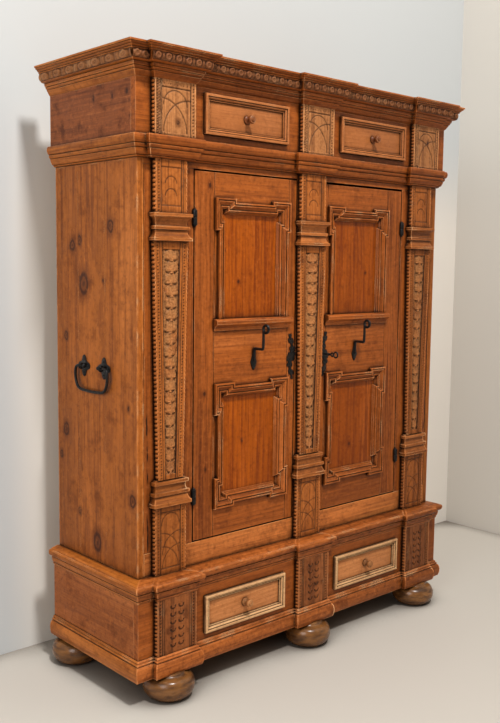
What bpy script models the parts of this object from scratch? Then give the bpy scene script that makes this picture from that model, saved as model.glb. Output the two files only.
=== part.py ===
import math

import bpy
import bmesh
from mathutils import Vector

# Heights, from the floor up
foot_height = 0.0867
base_height = 0.2515
base_moulding_height = 0.0682
case_height = 1.3227
architrave_height = 0.067
frieze_height = 0.1677
cornice_height = 0.091

# Case
case_width = 1.500
case_depth = 0.480
fit_gap = 0.0003
bite = 0.003
overrun = 0.010
board = 0.024
thin_board = 0.015

# Feet
foot_radius = 0.0856
foot_forward = 0.025
front_foot_inset = 0.106
back_foot_inset = 0.0235
back_foot_setback = 0.072

# Base
base_side_reach = 0.0225
base_front_reach = 0.034
foot_moulding_height = 0.0665
foot_moulding_reach = 0.019
base_moulding_reach = 0.0215
moulding_depth = 0.060
runner_width = 0.018

# Breakfronts and blocks
break_forward = 0.018
block_half = 0.079
block_inset = 0.120
centre_shift = 0.007

# Crown
architrave_reach = 0.033
frieze_reach = 0.018
cornice_reach = 0.0585
cornice_bearing = 0.010
crown_board = 0.020
band_low_share = 0.49
band_high_share = 0.74
band_reach_share = 0.645
egg_half_long = 0.015
egg_half_tall = 0.0095
egg_proud = 0.0045
egg_top_share = 0.60
side_egg_share = 1.25
egg_end_share = 1.5
front_egg_pitch = 0.038

# Doors and their posts
threshold_height = 0.0775
head_height = 0.018
stile_inner = 0.2205
door_outer = 0.2235
door_thickness = 0.030
door_clearance = 0.0025
post_half = 0.0665
frame_outer = 0.309
inner_stile = 0.0335
lower_frame_rise = 0.095
lower_frame_height = 0.428
sill_rise = 0.700
sill_height = 0.038
upper_frame_drop = 0.084
ear_out = 0.0125
ear_long = 0.086
ear_tall = 0.106
frame_moulding_width = 0.038
frame_moulding_proud = 0.014
panel_setback = 0.0123
opening_inset = 0.034
rebate = 0.010
sill_reach = 0.023
sill_overhang = 0.007

# Hinges
barrel_radius = 0.0085
barrel_length = 0.049
barrel_forward = 0.004
barrel_clearance = 0.0008
hinge_inset = 0.153

# Pilasters
pilaster_inset = 0.118
pilaster_half = 0.061
pilaster_proud = 0.018
pedestal_height = 0.226
plinth_height = 0.087
capital_drop = 0.1637
capital_height = 0.088
capital_reach = 0.014
shaft_top_half = 0.066
shaft_bottom_half = 0.049
shaft_panel_top_half = 0.035
shaft_panel_bottom_half = 0.020
panel_sunk = 0.005
panel_margin = 0.020
panel_border = 0.018
husk_pitch = 0.0375
husk_proud = 0.004
husk_width_share = 0.75
husk_tall_share = 0.88
husk_end_share = 1.5
gouge_width_share = 0.7
gouge_tall_share = 0.72

# Drawers
drawer_outer_margin = 0.046
drawer_height = 0.128
drawer_centre_margin = 0.056
drawer_play = 0.002
drawer_front_thickness = 0.020
drawer_moulding_width = 0.022
drawer_moulding_proud = 0.014
drawer_box_depth = 0.415
drawer_side = 0.010
drawer_box_drop = 0.018
base_drawer_rise = 0.0885
frieze_drawer_rise = 0.0227
knob_radius = 0.0135
knob_length = 0.034

# Shelves
lower_shelf_rise = 0.493
upper_shelf_rise = 0.903
shelf_thickness = 0.018
shelf_setback = 0.060
cleat = 0.020

# Locks
lock_rise = 0.071
lock_inset = 0.018
lock_setback = 0.002
lock_width = 0.064
lock_tall = 0.090
lock_depth = 0.016
lock_wall = 0.002
bolt_long = 0.046
bolt_tall = 0.014
bolt_thick = 0.007
bolt_above = 0.016
tongue_long = 0.040
key_radius = 0.003
key_hole_radius = 0.0038
key_out = 0.036
key_in = 0.040
small_ring = 0.0062
large_ring = 0.0100
ring_wire = 0.0022
escutcheon_tall = 0.161
escutcheon_half = 0.017
escutcheon_sway = 0.006
escutcheon_thickness = 0.003

# Pulls
pull_above = 0.062
pull_shift = 0.008
leaf_half = 0.0135
leaf_tall = 0.054
leaf_thickness = 0.004
leaf_rim_share = 0.6
leaf_face_share = 0.8
pull_rise = 0.048
pull_reach = 0.050
pull_arm = 0.070
pull_bar = 0.0052
pull_ring = 0.0128
pull_ring_wire = 0.0050

# Bail handles
bail_rise = 0.659
bail_front = 0.185
bail_spacing = 0.120
plate_half_long = 0.038
plate_half_tall = 0.034
plate_thickness = 0.003
plate_rim_share = 0.6
plate_face_share = 0.9
eye_out = 0.013
eye_radius = 0.0085
eye_wire = 0.0028
bail_wire = 0.0049
bail_overhang = 0.036
bail_drop = 0.080
bail_end = 0.0068

# Levels and planes that follow from the sizes
base_bottom = foot_height + fit_gap
base_top = base_bottom + base_height
case_stand = base_top + base_moulding_height
case_bottom = case_stand + fit_gap
case_top = case_bottom + case_height
frieze_bottom = case_top + fit_gap + architrave_height
frieze_top = frieze_bottom + frieze_height
overall_height = frieze_top + cornice_height
base_drawer_bottom = base_bottom + base_drawer_rise
frieze_drawer_bottom = frieze_bottom + frieze_drawer_rise
lower_shelf = case_bottom + lower_shelf_rise
upper_shelf = case_bottom + upper_shelf_rise
stile_low = case_bottom + threshold_height + fit_gap
stile_high = case_top - head_height - fit_gap
door_bottom = stile_low + door_clearance
door_top = stile_high - door_clearance
lower_hinge = door_bottom + hinge_inset
upper_hinge = door_top - hinge_inset
lower_frame_bottom = door_bottom + lower_frame_rise
lower_frame_top = lower_frame_bottom + lower_frame_height
sill_bottom = door_bottom + sill_rise
sill_top = sill_bottom + sill_height
upper_frame_top = door_top - upper_frame_drop
lock_height = lower_frame_top + lock_rise
pull_height = lower_frame_top + pull_above
pilaster_base_bottom = case_bottom + pedestal_height
pilaster_base_top = pilaster_base_bottom + plinth_height
capital_top = case_top - capital_drop
capital_bottom = capital_top - capital_height
bail_height = case_bottom + bail_rise
bail_back = bail_front + bail_spacing
front_reach = foot_radius + foot_forward
back_reach = foot_radius - back_foot_setback
case_front = (front_reach - case_depth - back_reach) / 2
case_back = case_front + case_depth
case_half = case_width / 2
frame_inner = case_half - post_half - inner_stile
drawer_outer = case_half - block_inset - block_half - drawer_outer_margin
drawer_inner = block_half + drawer_centre_margin
drawer_width = drawer_outer - drawer_inner
drawer_offset = (drawer_outer + drawer_inner) / 2
pilaster_centres = {
    "left": pilaster_inset - case_half,
    "centre": centre_shift,
    "right": case_half - pilaster_inset,
}
block_centres = {
    "left": block_inset - case_half,
    "centre": centre_shift,
    "right": case_half - block_inset,
}
sides = {"left": -1, "right": 1}
round_sides = 20
small_sides = 8
ring_sides = 12
egg_sides = 6
side_eggs = 8
gouge_rows = 6
back_boards = 7
sway_turns = 1.5
crease_degrees = 35

# Scene and looks
for thing in list(bpy.data.objects):
    bpy.data.objects.remove(thing, do_unlink=True)

looks = {
    "side_pine": ((0.37, 0.11, 0.03), 0.42, 0.0),
    "front_pine": ((0.35, 0.10, 0.025), 0.40, 0.0),
    "panel_pine": ((0.38, 0.09, 0.012), 0.36, 0.0),
    "carved_pine": ((0.33, 0.15, 0.06), 0.55, 0.0),
    "drawer_pine": ((0.50, 0.22, 0.08), 0.42, 0.0),
    "moulding_pine": ((0.40, 0.13, 0.035), 0.42, 0.0),
    "frieze_pine": ((0.26, 0.07, 0.03), 0.45, 0.0),
    "inner_pine": ((0.48, 0.30, 0.15), 0.70, 0.0),
    "foot_wood": ((0.16, 0.10, 0.05), 0.35, 0.0),
    "wrought_iron": ((0.010, 0.009, 0.008), 0.45, 0.9),
}


def look_of(kind, name):
    colour, roughness, metallic = looks[kind]
    material = bpy.data.materials.new(name + "_" + kind)
    material.use_nodes = True
    shader = material.node_tree.nodes["Principled BSDF"]
    shader.inputs["Base Color"].default_value = (*colour, 1.0)
    shader.inputs["Roughness"].default_value = roughness
    shader.inputs["Metallic"].default_value = metallic
    return material


# Making meshes
def object_from(bm, name, kind, smooth=False):
    bmesh.ops.recalc_face_normals(bm, faces=bm.faces)
    mesh = bpy.data.meshes.new(name)
    bm.to_mesh(mesh)
    bm.free()
    if smooth:
        mesh.shade_smooth()
        mesh.set_sharp_from_angle(angle=math.radians(crease_degrees))
    made = bpy.data.objects.new(name, mesh)
    bpy.context.scene.collection.objects.link(made)
    made.data.materials.append(look_of(kind, name))
    return made


def helper_from(bm, name):
    made = object_from(bm, name, "inner_pine")
    made.hide_render = True
    made.display_type = "WIRE"
    return made


def combine(target, tool, operation):
    modifier = target.modifiers.new(tool.name, "BOOLEAN")
    modifier.operation = operation
    modifier.solver = "EXACT"
    modifier.object = tool


def fuse(target, bm, name):
    combine(target, helper_from(bm, name), "UNION")


def carve(target, bm, name):
    combine(target, helper_from(bm, name), "DIFFERENCE")


def sorted_slab(bm, a, b):
    """A slab between any two opposite corners."""
    low = [min(p, q) for p, q in zip(a, b)]
    high = [max(p, q) for p, q in zip(a, b)]
    slab(bm, low[0], high[0], low[1], high[1], low[2], high[2])


def slab(bm, x0, x1, y0, y1, z0, z1):
    corners = [bm.verts.new((x, y, z)) for x in (x0, x1) for y in (y0, y1) for z in (z0, z1)]
    for ring in ((0, 1, 3, 2), (4, 6, 7, 5), (0, 4, 5, 1), (2, 3, 7, 6), (0, 2, 6, 4), (1, 5, 7, 3)):
        bm.faces.new([corners[i] for i in ring])


def loft(bm, rings, ends=True, closed=False):
    """Skins rings of points, each as long as the next, and fills both ends."""
    made = [[bm.verts.new(point) for point in ring] for ring in rings]
    count = len(made[0])
    steps = len(made) if closed else len(made) - 1
    for i in range(steps):
        near, far = made[i], made[(i + 1) % len(made)]
        for j in range(count):
            k = (j + 1) % count
            bm.faces.new((near[j], near[k], far[k], far[j]))
    if ends and not closed:
        bm.faces.new(made[0])
        bm.faces.new(made[-1])


def prism(bm, outline, place, start, end):
    loft(bm, [[place(u, v, w) for u, v in outline] for w in (start, end)])


def mitres(path, closed):
    """The way each point of a path moves when the path is offset by one."""
    count = len(path)
    found = []
    for i in range(count):
        normals = []
        for a, b in ((i - 1, i), (i, i + 1)):
            if not closed and (a < 0 or b >= count):
                continue
            run = Vector(path[b % count]) - Vector(path[a % count])
            run.normalize()
            normals.append(Vector((run.y, -run.x)))
        first, last = normals[0], normals[-1]
        found.append((first + last) / (1 + first.dot(last)))
    return found


def moulding(bm, path, profile, place, closed=False):
    """A profile of (offset, height) points run along a path with mitred corners."""
    rings = []
    for point, mitre in zip(path, mitres(path, closed)):
        ring = []
        for offset, height in profile:
            ring.append(place(point[0] + mitre.x * offset, point[1] + mitre.y * offset, height))
        rings.append(ring)
    loft(bm, rings, closed=closed)


def turned(bm, profile, place, count):
    """A profile of (radius, distance) points spun about an axis."""
    rings = []
    for radius, along in profile:
        ring = []
        for k in range(count):
            angle = 2 * math.pi * k / count
            ring.append(place(radius * math.cos(angle), radius * math.sin(angle), along))
        rings.append(ring)
    loft(bm, rings)


def rod(bm, points, radii, count=small_sides, closed=False):
    """A round bar through a row of points, with one radius or one for each point."""
    points = [Vector(p) for p in points]
    total = len(points)
    if not isinstance(radii, list):
        radii = [radii] * total
    rings = []
    side = None
    for i, point in enumerate(points):
        before = points[i - 1] if i or closed else point
        after = points[(i + 1) % total] if i + 1 < total or closed else point
        along = (after - before).normalized()
        if side is None:
            side = along.orthogonal().normalized()
        side = (side - along * side.dot(along)).normalized()
        other = along.cross(side)
        ring = []
        for k in range(count):
            angle = 2 * math.pi * k / count
            ring.append(point + radii[i] * (math.cos(angle) * side + math.sin(angle) * other))
        rings.append(ring)
    loft(bm, rings, closed=closed)


def plan(x, y, z):
    return (x, y, z)


def scaled(shares, reach, height, base):
    return [(reach * r, base + height * h) for r, h in shares]


def box_node(name, kind, *bounds):
    bm = bmesh.new()
    slab(bm, *bounds)
    return object_from(bm, name, kind)


# Bun feet
foot_shares = [
    (0.58, 0.00), (0.78, 0.07), (0.93, 0.23), (1.00, 0.44),
    (0.98, 0.64), (0.87, 0.83), (0.60, 0.965), (0.60, 1.00),
]


def foot(name, x, y):
    bm = bmesh.new()
    profile = [(foot_radius * r, foot_height * h) for r, h in foot_shares]
    turned(bm, profile, lambda u, v, w: (x + u, y + v, w), round_sides)
    object_from(bm, name, "foot_wood", smooth=True)


foot_y = case_front - foot_forward
foot("foot_front_left", front_foot_inset - case_half, foot_y)
foot("foot_front_centre", centre_shift, foot_y)
foot("foot_front_right", case_half - front_foot_inset, foot_y)
foot("foot_back_left", back_foot_inset - case_half, case_back - back_foot_setback)
foot("foot_back_right", case_half - back_foot_inset, case_back - back_foot_setback)


# Paths of the mouldings, from the left back corner round the front
def round_path(side_reach, forward, half, centres):
    left = -case_half - side_reach
    right = case_half + side_reach
    front = case_front - forward
    path = [(left, case_back), (left, front)]
    for centre in centres.values():
        path += [
            (centre - half, front),
            (centre - half, front - break_forward),
            (centre + half, front - break_forward),
            (centre + half, front),
        ]
    return path + [(right, front), (right, case_back)]


def round_moulding(name, kind, path, shares, reach, height, base, depth):
    profile = scaled(shares, reach, height, base)
    profile += [(-depth, base + height * shares[-1][1]), (-depth, base + height * shares[0][1])]
    bm = bmesh.new()
    moulding(bm, path, profile, plan)
    return object_from(bm, name, kind)


def tie_at_back(ring, half, low, high):
    """A plain bar that closes a moulded frame along its back."""
    bm = bmesh.new()
    slab(bm, -half - overrun, half + overrun, case_back - thin_board, case_back, low, high)
    fuse(ring, bm, ring.name + "_tie")


foot_moulding_shares = [
    (0.75, 0.00), (0.92, 0.14), (1.00, 0.30), (1.00, 0.48), (0.85, 0.66),
    (0.55, 0.80), (0.30, 0.86), (0.30, 0.93), (0.10, 1.00),
]
base_moulding_shares = [
    (0.00, 0.00), (0.15, 0.10), (0.32, 0.25), (0.42, 0.42), (0.45, 0.50), (0.72, 0.56),
    (0.95, 0.66), (1.00, 0.76), (0.94, 0.84), (0.74, 0.88), (0.50, 0.90), (0.10, 0.95), (-0.60, 1.00),
]
architrave_shares = [
    (0.00, 0.00), (0.28, 0.05), (0.42, 0.12), (0.58, 0.30), (0.64, 0.42), (0.74, 0.45),
    (0.77, 0.58), (0.84, 0.62), (0.96, 0.72), (1.00, 0.84), (0.96, 0.95), (0.88, 1.00),
]
cornice_shares = [
    (0.00, 0.00), (0.08, 0.05), (0.16, 0.14), (0.26, 0.22), (0.28, 0.29), (0.34, 0.31), (0.36, 0.41),
    (0.60, 0.45), (0.62, 0.49), (0.67, 0.74), (0.76, 0.76), (0.82, 0.83), (0.93, 0.88), (0.95, 0.93),
    (1.00, 0.94), (1.00, 1.00),
]

# Base
base_front_y = case_front - base_front_reach
base_board_back = base_front_y + board
base_half = case_half + base_side_reach
box_top = base_top - fit_gap
round_moulding(
    "base_foot_moulding", "moulding_pine",
    round_path(base_side_reach + fit_gap, base_front_reach + fit_gap, block_half + fit_gap, block_centres),
    foot_moulding_shares, foot_moulding_reach, foot_moulding_height, base_bottom, 0,
)
base_top_moulding = round_moulding(
    "base_top_moulding", "moulding_pine",
    round_path(base_side_reach, base_front_reach, block_half, block_centres),
    base_moulding_shares, base_moulding_reach, base_moulding_height, base_top, moulding_depth,
)
tie_at_back(base_top_moulding, base_half - moulding_depth, base_top, case_stand)
for side_name, side in sides.items():
    outer = side * base_half
    inner = side * (base_half - board)
    box_node(
        "base_side_" + side_name, "side_pine", min(outer, inner), max(outer, inner),
        base_board_back + fit_gap, case_back, base_bottom, box_top,
    )
base_inner_half = base_half - board - fit_gap
box_node(
    "base_back", "inner_pine", -base_inner_half, base_inner_half,
    case_back - board, case_back, base_bottom, box_top,
)
bm = bmesh.new()
floor_back = case_back - board - fit_gap
slab(
    bm, -base_inner_half, base_inner_half, base_board_back + fit_gap, floor_back,
    base_bottom, base_bottom + board,
)
base_bottom_node = object_from(bm, "base_bottom", "inner_pine")
bm = bmesh.new()
for centre in (-drawer_offset, drawer_offset):
    for side in sides.values():
        edge = centre + side * drawer_width / 2
        near = edge - side * runner_width
        slab(
            bm, min(edge, near), max(edge, near), base_board_back + overrun, floor_back - overrun,
            base_bottom + board - bite, base_drawer_bottom - fit_gap,
        )
fuse(base_bottom_node, bm, "base_runners")


# Face boards with blocks and drawer openings
def sunk_outline(half_low, half_high, low, high):
    return [(-half_low, low), (half_low, low), (half_high, high), (-half_high, high)]


def sunk_panel(bm, centre, face, half_low, half_high, low, high):
    """A cutter for a sunk field whose sides slope in."""
    back = face + panel_sunk
    slope = panel_sunk / 2
    rings = []
    outer = sunk_outline(half_low, half_high, low, high)
    inner = sunk_outline(half_low - slope, half_high - slope, low + slope, high - slope)
    for outline, y in ((outer, face - overrun), (outer, face), (inner, back)):
        rings.append([(centre + u, y, v) for u, v in outline])
    loft(bm, rings)


husk_shares = [(0.00, -0.50), (0.95, -0.10), (0.70, 0.50), (-0.70, 0.50), (-0.95, -0.10)]
husk_top_shares = [(0.00, -0.34), (0.50, -0.10), (0.20, 0.44), (-0.20, 0.44), (-0.50, -0.10)]


def husk(bm, x, z, face, half, tall):
    """A carved tongue that stands out most towards its lower end."""
    low = [(x + half * u, face + bite / 2, z + tall * v) for u, v in husk_shares]
    top = []
    for u, v in husk_top_shares:
        rise = husk_proud * (1 - v)
        top.append((x + half * u, face - rise, z + tall * v))
    loft(bm, [low, top])


def face_board(name, kind, front_y, half, low, high, opening_low, opening_high, carved):
    node = box_node(name, kind, -half, half, front_y, front_y + board, low, high)
    bm = bmesh.new()
    for centre in (-drawer_offset, drawer_offset):
        reach = drawer_width / 2 + drawer_play
        slab(
            bm, centre - reach, centre + reach, front_y - overrun, front_y + board + overrun,
            opening_low, opening_high,
        )
    carve(node, bm, name + "_openings")
    bm = bmesh.new()
    for centre in block_centres.values():
        slab(
            bm, centre - block_half, centre + block_half,
            front_y - break_forward, front_y + bite, low, high,
        )
    fuse(node, bm, name + "_blocks")
    face = front_y - break_forward
    bm = bmesh.new()
    for centre in block_centres.values():
        sunk_panel(
            bm, centre, face, block_half - panel_margin, block_half - panel_margin,
            carved[0] + panel_border, carved[1] - panel_border,
        )
    carve(node, bm, name + "_carving")
    return node


base_front = face_board(
    "base_front", "front_pine", base_front_y, base_half, base_bottom, box_top,
    base_drawer_bottom - drawer_play, base_drawer_bottom + drawer_height + drawer_play,
    (base_bottom + foot_moulding_height, box_top),
)
bm = bmesh.new()
field_low = base_bottom + foot_moulding_height + 2 * panel_border
field_high = box_top - 2 * panel_border
for centre in block_centres.values():
    for row in range(gouge_rows):
        z = field_low + (row + 0.5) * (field_high - field_low) / gouge_rows
        for side in sides.values():
            husk(
                bm, centre + side * panel_margin, z,
                base_front_y - break_forward + panel_sunk, panel_margin * gouge_width_share,
                gouge_tall_share * (field_high - field_low) / gouge_rows,
            )
fuse(base_front, bm, "base_gouges")

# Crown
frieze_front_y = case_front - frieze_reach
frieze_low = frieze_bottom + fit_gap
frieze_high = frieze_top - fit_gap
frieze_half = case_half + frieze_reach
architrave = round_moulding(
    "architrave_moulding", "moulding_pine",
    round_path(0, 0, block_half, block_centres),
    architrave_shares, architrave_reach, architrave_height, case_top + fit_gap, moulding_depth,
)
tie_at_back(architrave, case_half - moulding_depth, case_top + fit_gap, frieze_bottom)
cornice = round_moulding(
    "cornice_moulding", "moulding_pine",
    round_path(frieze_reach, frieze_reach, block_half, block_centres),
    cornice_shares, cornice_reach, cornice_height, frieze_top, cornice_bearing,
)
frieze_front = face_board(
    "frieze_front", "front_pine", frieze_front_y, frieze_half, frieze_low, frieze_high,
    frieze_drawer_bottom - drawer_play, frieze_drawer_bottom + drawer_height + drawer_play,
    (frieze_low, frieze_high),
)
frieze_back_of_front = frieze_front_y + board + fit_gap
for side_name, side in sides.items():
    outer = side * frieze_half
    inner = side * (frieze_half - board)
    box_node(
        "frieze_side_" + side_name, "frieze_pine", min(outer, inner), max(outer, inner),
        frieze_back_of_front, case_back, frieze_low, frieze_high,
    )
frieze_inner_half = frieze_half - board - fit_gap
box_node(
    "frieze_back", "inner_pine", -frieze_inner_half, frieze_inner_half,
    case_back - thin_board, case_back, frieze_low, frieze_high,
)
crown_back = case_back - thin_board - fit_gap
box_node(
    "crown_floor", "inner_pine", -frieze_inner_half, frieze_inner_half,
    frieze_back_of_front, crown_back, frieze_low, frieze_drawer_bottom - fit_gap,
)
crown_top_half = frieze_half - cornice_bearing - fit_gap
box_node(
    "crown_top", "inner_pine", -crown_top_half, crown_top_half,
    frieze_front_y + cornice_bearing + fit_gap, case_back, frieze_top, frieze_top + crown_board,
)

# Carved medallions on the cornice
band_z = frieze_top + cornice_height * (band_low_share + band_high_share) / 2
band_out = cornice_reach * band_reach_share


def egg(bm, place, long_half):
    rings = []
    for share, depth in ((1.0, -bite / 2), (egg_top_share, egg_proud)):
        ring = []
        for k in range(egg_sides):
            angle = 2 * math.pi * k / egg_sides
            along = long_half * share * math.cos(angle)
            up = egg_half_tall * share * math.sin(angle)
            ring.append(place(along, up, depth))
        rings.append(ring)
    loft(bm, rings)


bm = bmesh.new()
side_plane = frieze_half + band_out
side_end_room = egg_half_long * egg_end_share
side_start = case_front - frieze_reach - band_out + side_end_room
side_pitch = (case_back - side_end_room - side_start) / (side_eggs - 1)
for side in sides.values():
    for k in range(side_eggs):
        y = side_start + k * side_pitch
        long_half = egg_half_long * side_egg_share
        egg(bm, lambda u, v, w: (side * (side_plane + w), y + u, band_z + v), long_half)
front_plane = case_front - frieze_reach - band_out


def egg_run(bm, start, end, plane):
    count = int((end - start) / front_egg_pitch)
    for k in range(count):
        x = start + (k + 0.5) * (end - start) / count
        egg(bm, lambda u, v, w: (x + u, plane - w, band_z + v), egg_half_long)


centres = list(block_centres.values())
for centre in centres:
    reach = block_half + band_out
    egg_run(bm, centre - reach, centre + reach, front_plane - break_forward)
for here, there in zip(centres, centres[1:]):
    egg_run(bm, here + block_half + band_out, there - block_half - band_out, front_plane)
fuse(cornice, bm, "cornice_medallions")

# Case
bottom = case_bottom
case_floor_top = stile_low - fit_gap
case_inner = case_half - board - fit_gap
back_front = case_back - thin_board
rail_back = case_front + board
for side_name, side in sides.items():
    outer = side * case_half
    inner = side * (case_half - board)
    node = box_node(
        "case_side_" + side_name, "side_pine", min(outer, inner), max(outer, inner),
        case_front, case_back, bottom, case_top,
    )
    bm = bmesh.new()
    for level in (case_floor_top - thin_board, lower_shelf, upper_shelf):
        near = side * (case_half - board + bite)
        far = side * (case_half - board - cleat)
        slab(
            bm, min(near, far), max(near, far), case_front + shelf_setback, back_front - overrun,
            level - cleat, level - fit_gap,
        )
    for y in (bail_front, bail_back):
        centre_y = case_front + y
        diamond = [
            (-plate_half_long, 0), (0, -plate_half_tall), (plate_half_long, 0), (0, plate_half_tall),
        ]
        steps = [(1, -bite), (1, plate_thickness * plate_rim_share), (plate_face_share, plate_thickness)]
        rings = []
        for share, out in steps:
            x = side * (case_half + out)
            rings.append([(x, centre_y + u * share, bail_height + v * share) for u, v in diamond])
        loft(bm, rings)
    fuse(node, bm, "case_fittings_" + side_name)
    bm = bmesh.new()
    for y in (bail_front, bail_back):
        ring = []
        for k in range(ring_sides):
            angle = 2 * math.pi * k / ring_sides
            ring.append((
                side * (case_half + eye_out + eye_radius * math.cos(angle)),
                case_front + y,
                bail_height + eye_radius * math.sin(angle),
            ))
        rod(bm, ring, eye_wire, small_sides - 2, closed=True)
    fuse(node, bm, "case_eyes_" + side_name)
box_node(
    "case_floor", "inner_pine", -case_inner, case_inner, rail_back + fit_gap, back_front - fit_gap,
    case_floor_top - thin_board, case_floor_top,
)
bm = bmesh.new()
slab(bm, -case_inner, case_inner, back_front, case_back, bottom, case_top)
node = object_from(bm, "case_back", "inner_pine")
bm = bmesh.new()
for k in range(1, back_boards):
    x = -case_inner + 2 * case_inner * k / back_boards
    groove = [(x - bite, case_back + bite), (x, case_back - bite), (x + bite, case_back + bite)]
    prism(bm, groove, lambda u, v, w: (u, v, w), bottom - overrun, case_top + overrun)
carve(node, bm, "back_board_joints")
for name, level in (("shelf_lower", lower_shelf), ("shelf_upper", upper_shelf)):
    box_node(
        name, "inner_pine", -case_inner, case_inner, case_front + shelf_setback, back_front - fit_gap,
        level, level + shelf_thickness,
    )
box_node(
    "threshold_rail", "front_pine", -case_inner, case_inner, case_front, rail_back,
    bottom, stile_low - fit_gap,
)
box_node(
    "head_rail", "front_pine", -case_inner, case_inner, case_front, rail_back,
    stile_high + fit_gap, case_top,
)
box_node(
    "centre_post", "front_pine", centre_shift - post_half, centre_shift + post_half,
    case_front, case_front + door_thickness, stile_low, stile_high,
)

# Hinge barrels
barrel_y = case_front - barrel_forward
barrel_x = case_half - (stile_inner + door_outer) / 2
half_barrel = barrel_length / 2


def barrel(bm, side, low, high, grow=0):
    turned(
        bm, [(barrel_radius + grow, low), (barrel_radius + grow, high)],
        lambda u, v, w: (side * barrel_x + u, barrel_y + v, w), small_sides + 2,
    )


for side_name, side in sides.items():
    outer = side * case_inner
    inner = side * (case_half - stile_inner)
    node = box_node(
        "front_stile_" + side_name, "front_pine", min(outer, inner), max(outer, inner),
        case_front, rail_back, stile_low, stile_high,
    )
    bm = bmesh.new()
    for z in (upper_hinge, lower_hinge):
        barrel(bm, side, z, z + half_barrel + barrel_clearance, barrel_clearance)
    carve(node, bm, "stile_barrel_room_" + side_name)
    bm = bmesh.new()
    for z in (upper_hinge, lower_hinge):
        barrel(bm, side, z - half_barrel, z - fit_gap)
    fuse(node, bm, "stile_barrels_" + side_name)

# Pilasters
capital_shares = [
    (0.40, 0.00), (1.00, 0.04), (1.00, 0.14), (0.45, 0.20), (0.14, 0.27), (0.14, 0.43), (0.57, 0.47),
    (0.57, 0.57), (0.07, 0.62), (0.00, 0.76), (1.00, 0.89), (1.00, 0.99), (0.00, 1.00),
]
plinth_shares = [
    (0.00, 0.00), (1.00, 0.03), (1.00, 0.16), (0.57, 0.23), (0.21, 0.34), (0.21, 0.46), (0.36, 0.49),
    (0.36, 0.60), (-0.14, 0.64), (-0.28, 0.80), (0.00, 0.85), (0.00, 0.95), (-0.43, 1.00),
]
pilaster_back = case_front - fit_gap
pilaster_face = case_front - pilaster_proud


def pilaster(name, centre):
    bm = bmesh.new()
    halves = [
        (pilaster_half, bottom), (pilaster_half, pilaster_base_bottom + bite),
        (shaft_bottom_half, pilaster_base_bottom + bite), (shaft_bottom_half, pilaster_base_top),
        (shaft_top_half, capital_bottom + bite), (pilaster_half, capital_bottom + bite),
        (pilaster_half, case_top),
    ]
    outline = [(-half, z) for half, z in halves] + [(half, z) for half, z in reversed(halves)]
    prism(bm, outline, lambda u, v, w: (centre + u, w, v), pilaster_face, pilaster_back)
    node = object_from(bm, name, "carved_pine")
    path = [
        (centre - pilaster_half, pilaster_back), (centre - pilaster_half, pilaster_face),
        (centre + pilaster_half, pilaster_face), (centre + pilaster_half, pilaster_back),
    ]
    depth = pilaster_proud - bite
    bm = bmesh.new()
    for shares, low, high in (
        (capital_shares, capital_bottom, capital_top),
        (plinth_shares, pilaster_base_bottom, pilaster_base_top),
    ):
        profile = scaled(shares, capital_reach, high - low, low) + [(-depth, high), (-depth, low)]
        moulding(bm, path, profile, plan)
    fuse(node, bm, name + "_ledges")
    bm = bmesh.new()
    block_field = pilaster_half - panel_margin
    sunk_panel(
        bm, centre, pilaster_face, block_field, block_field,
        bottom + panel_border, pilaster_base_bottom - panel_border,
    )
    sunk_panel(
        bm, centre, pilaster_face, block_field, block_field,
        capital_top + panel_border, case_top - panel_border,
    )
    sunk_panel(
        bm, centre, pilaster_face, shaft_panel_bottom_half, shaft_panel_top_half,
        pilaster_base_top + panel_border, capital_bottom - panel_border,
    )
    carve(node, bm, name + "_fields")
    bm = bmesh.new()
    low = pilaster_base_top + panel_border * husk_end_share
    high = capital_bottom - panel_border * husk_end_share
    count = int((high - low) / husk_pitch)
    for k in range(count):
        z = low + (k + 0.5) * (high - low) / count
        share = (z - pilaster_base_top) / (capital_bottom - pilaster_base_top)
        half = shaft_panel_bottom_half + share * (shaft_panel_top_half - shaft_panel_bottom_half)
        tall = husk_pitch * husk_tall_share
        husk(bm, centre, z, pilaster_face + panel_sunk, half * husk_width_share, tall)
    fuse(node, bm, name + "_husks")


for place_name, centre in pilaster_centres.items():
    pilaster("pilaster_" + place_name, centre)

# Doors
frame_moulding_shares = [
    (0.00, -0.30), (0.00, 0.80), (0.10, 1.00), (0.24, 0.98), (0.34, 0.66),
    (0.66, 0.18), (0.80, 0.10), (1.00, -0.86), (0.42, -0.86), (0.42, -0.30),
]


def eared(left, right, low, high, lower_ears):
    """The outline of a frame with ears, run clockwise seen from the front from its lower left corner."""
    top = [
        (left + ear_out, high - ear_tall), (left, high - ear_tall), (left, high),
        (left + ear_long, high), (left + ear_long, high - ear_out),
        (right - ear_long, high - ear_out), (right - ear_long, high), (right, high),
        (right, high - ear_tall), (right - ear_out, high - ear_tall),
    ]
    if not lower_ears:
        return [(left + ear_out, low)] + top + [(right - ear_out, low)]
    foot_points = [
        (right - ear_out, low + ear_tall), (right, low + ear_tall), (right, low),
        (right - ear_long, low), (right - ear_long, low + ear_out),
        (left + ear_long, low + ear_out), (left + ear_long, low), (left, low),
        (left, low + ear_tall), (left + ear_out, low + ear_tall),
    ]
    return top + foot_points


def frame_profile():
    points = []
    for across, out in frame_moulding_shares:
        points.append((frame_moulding_width * across, frame_moulding_proud * out))
    return points


door_back = case_front + door_thickness


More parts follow.
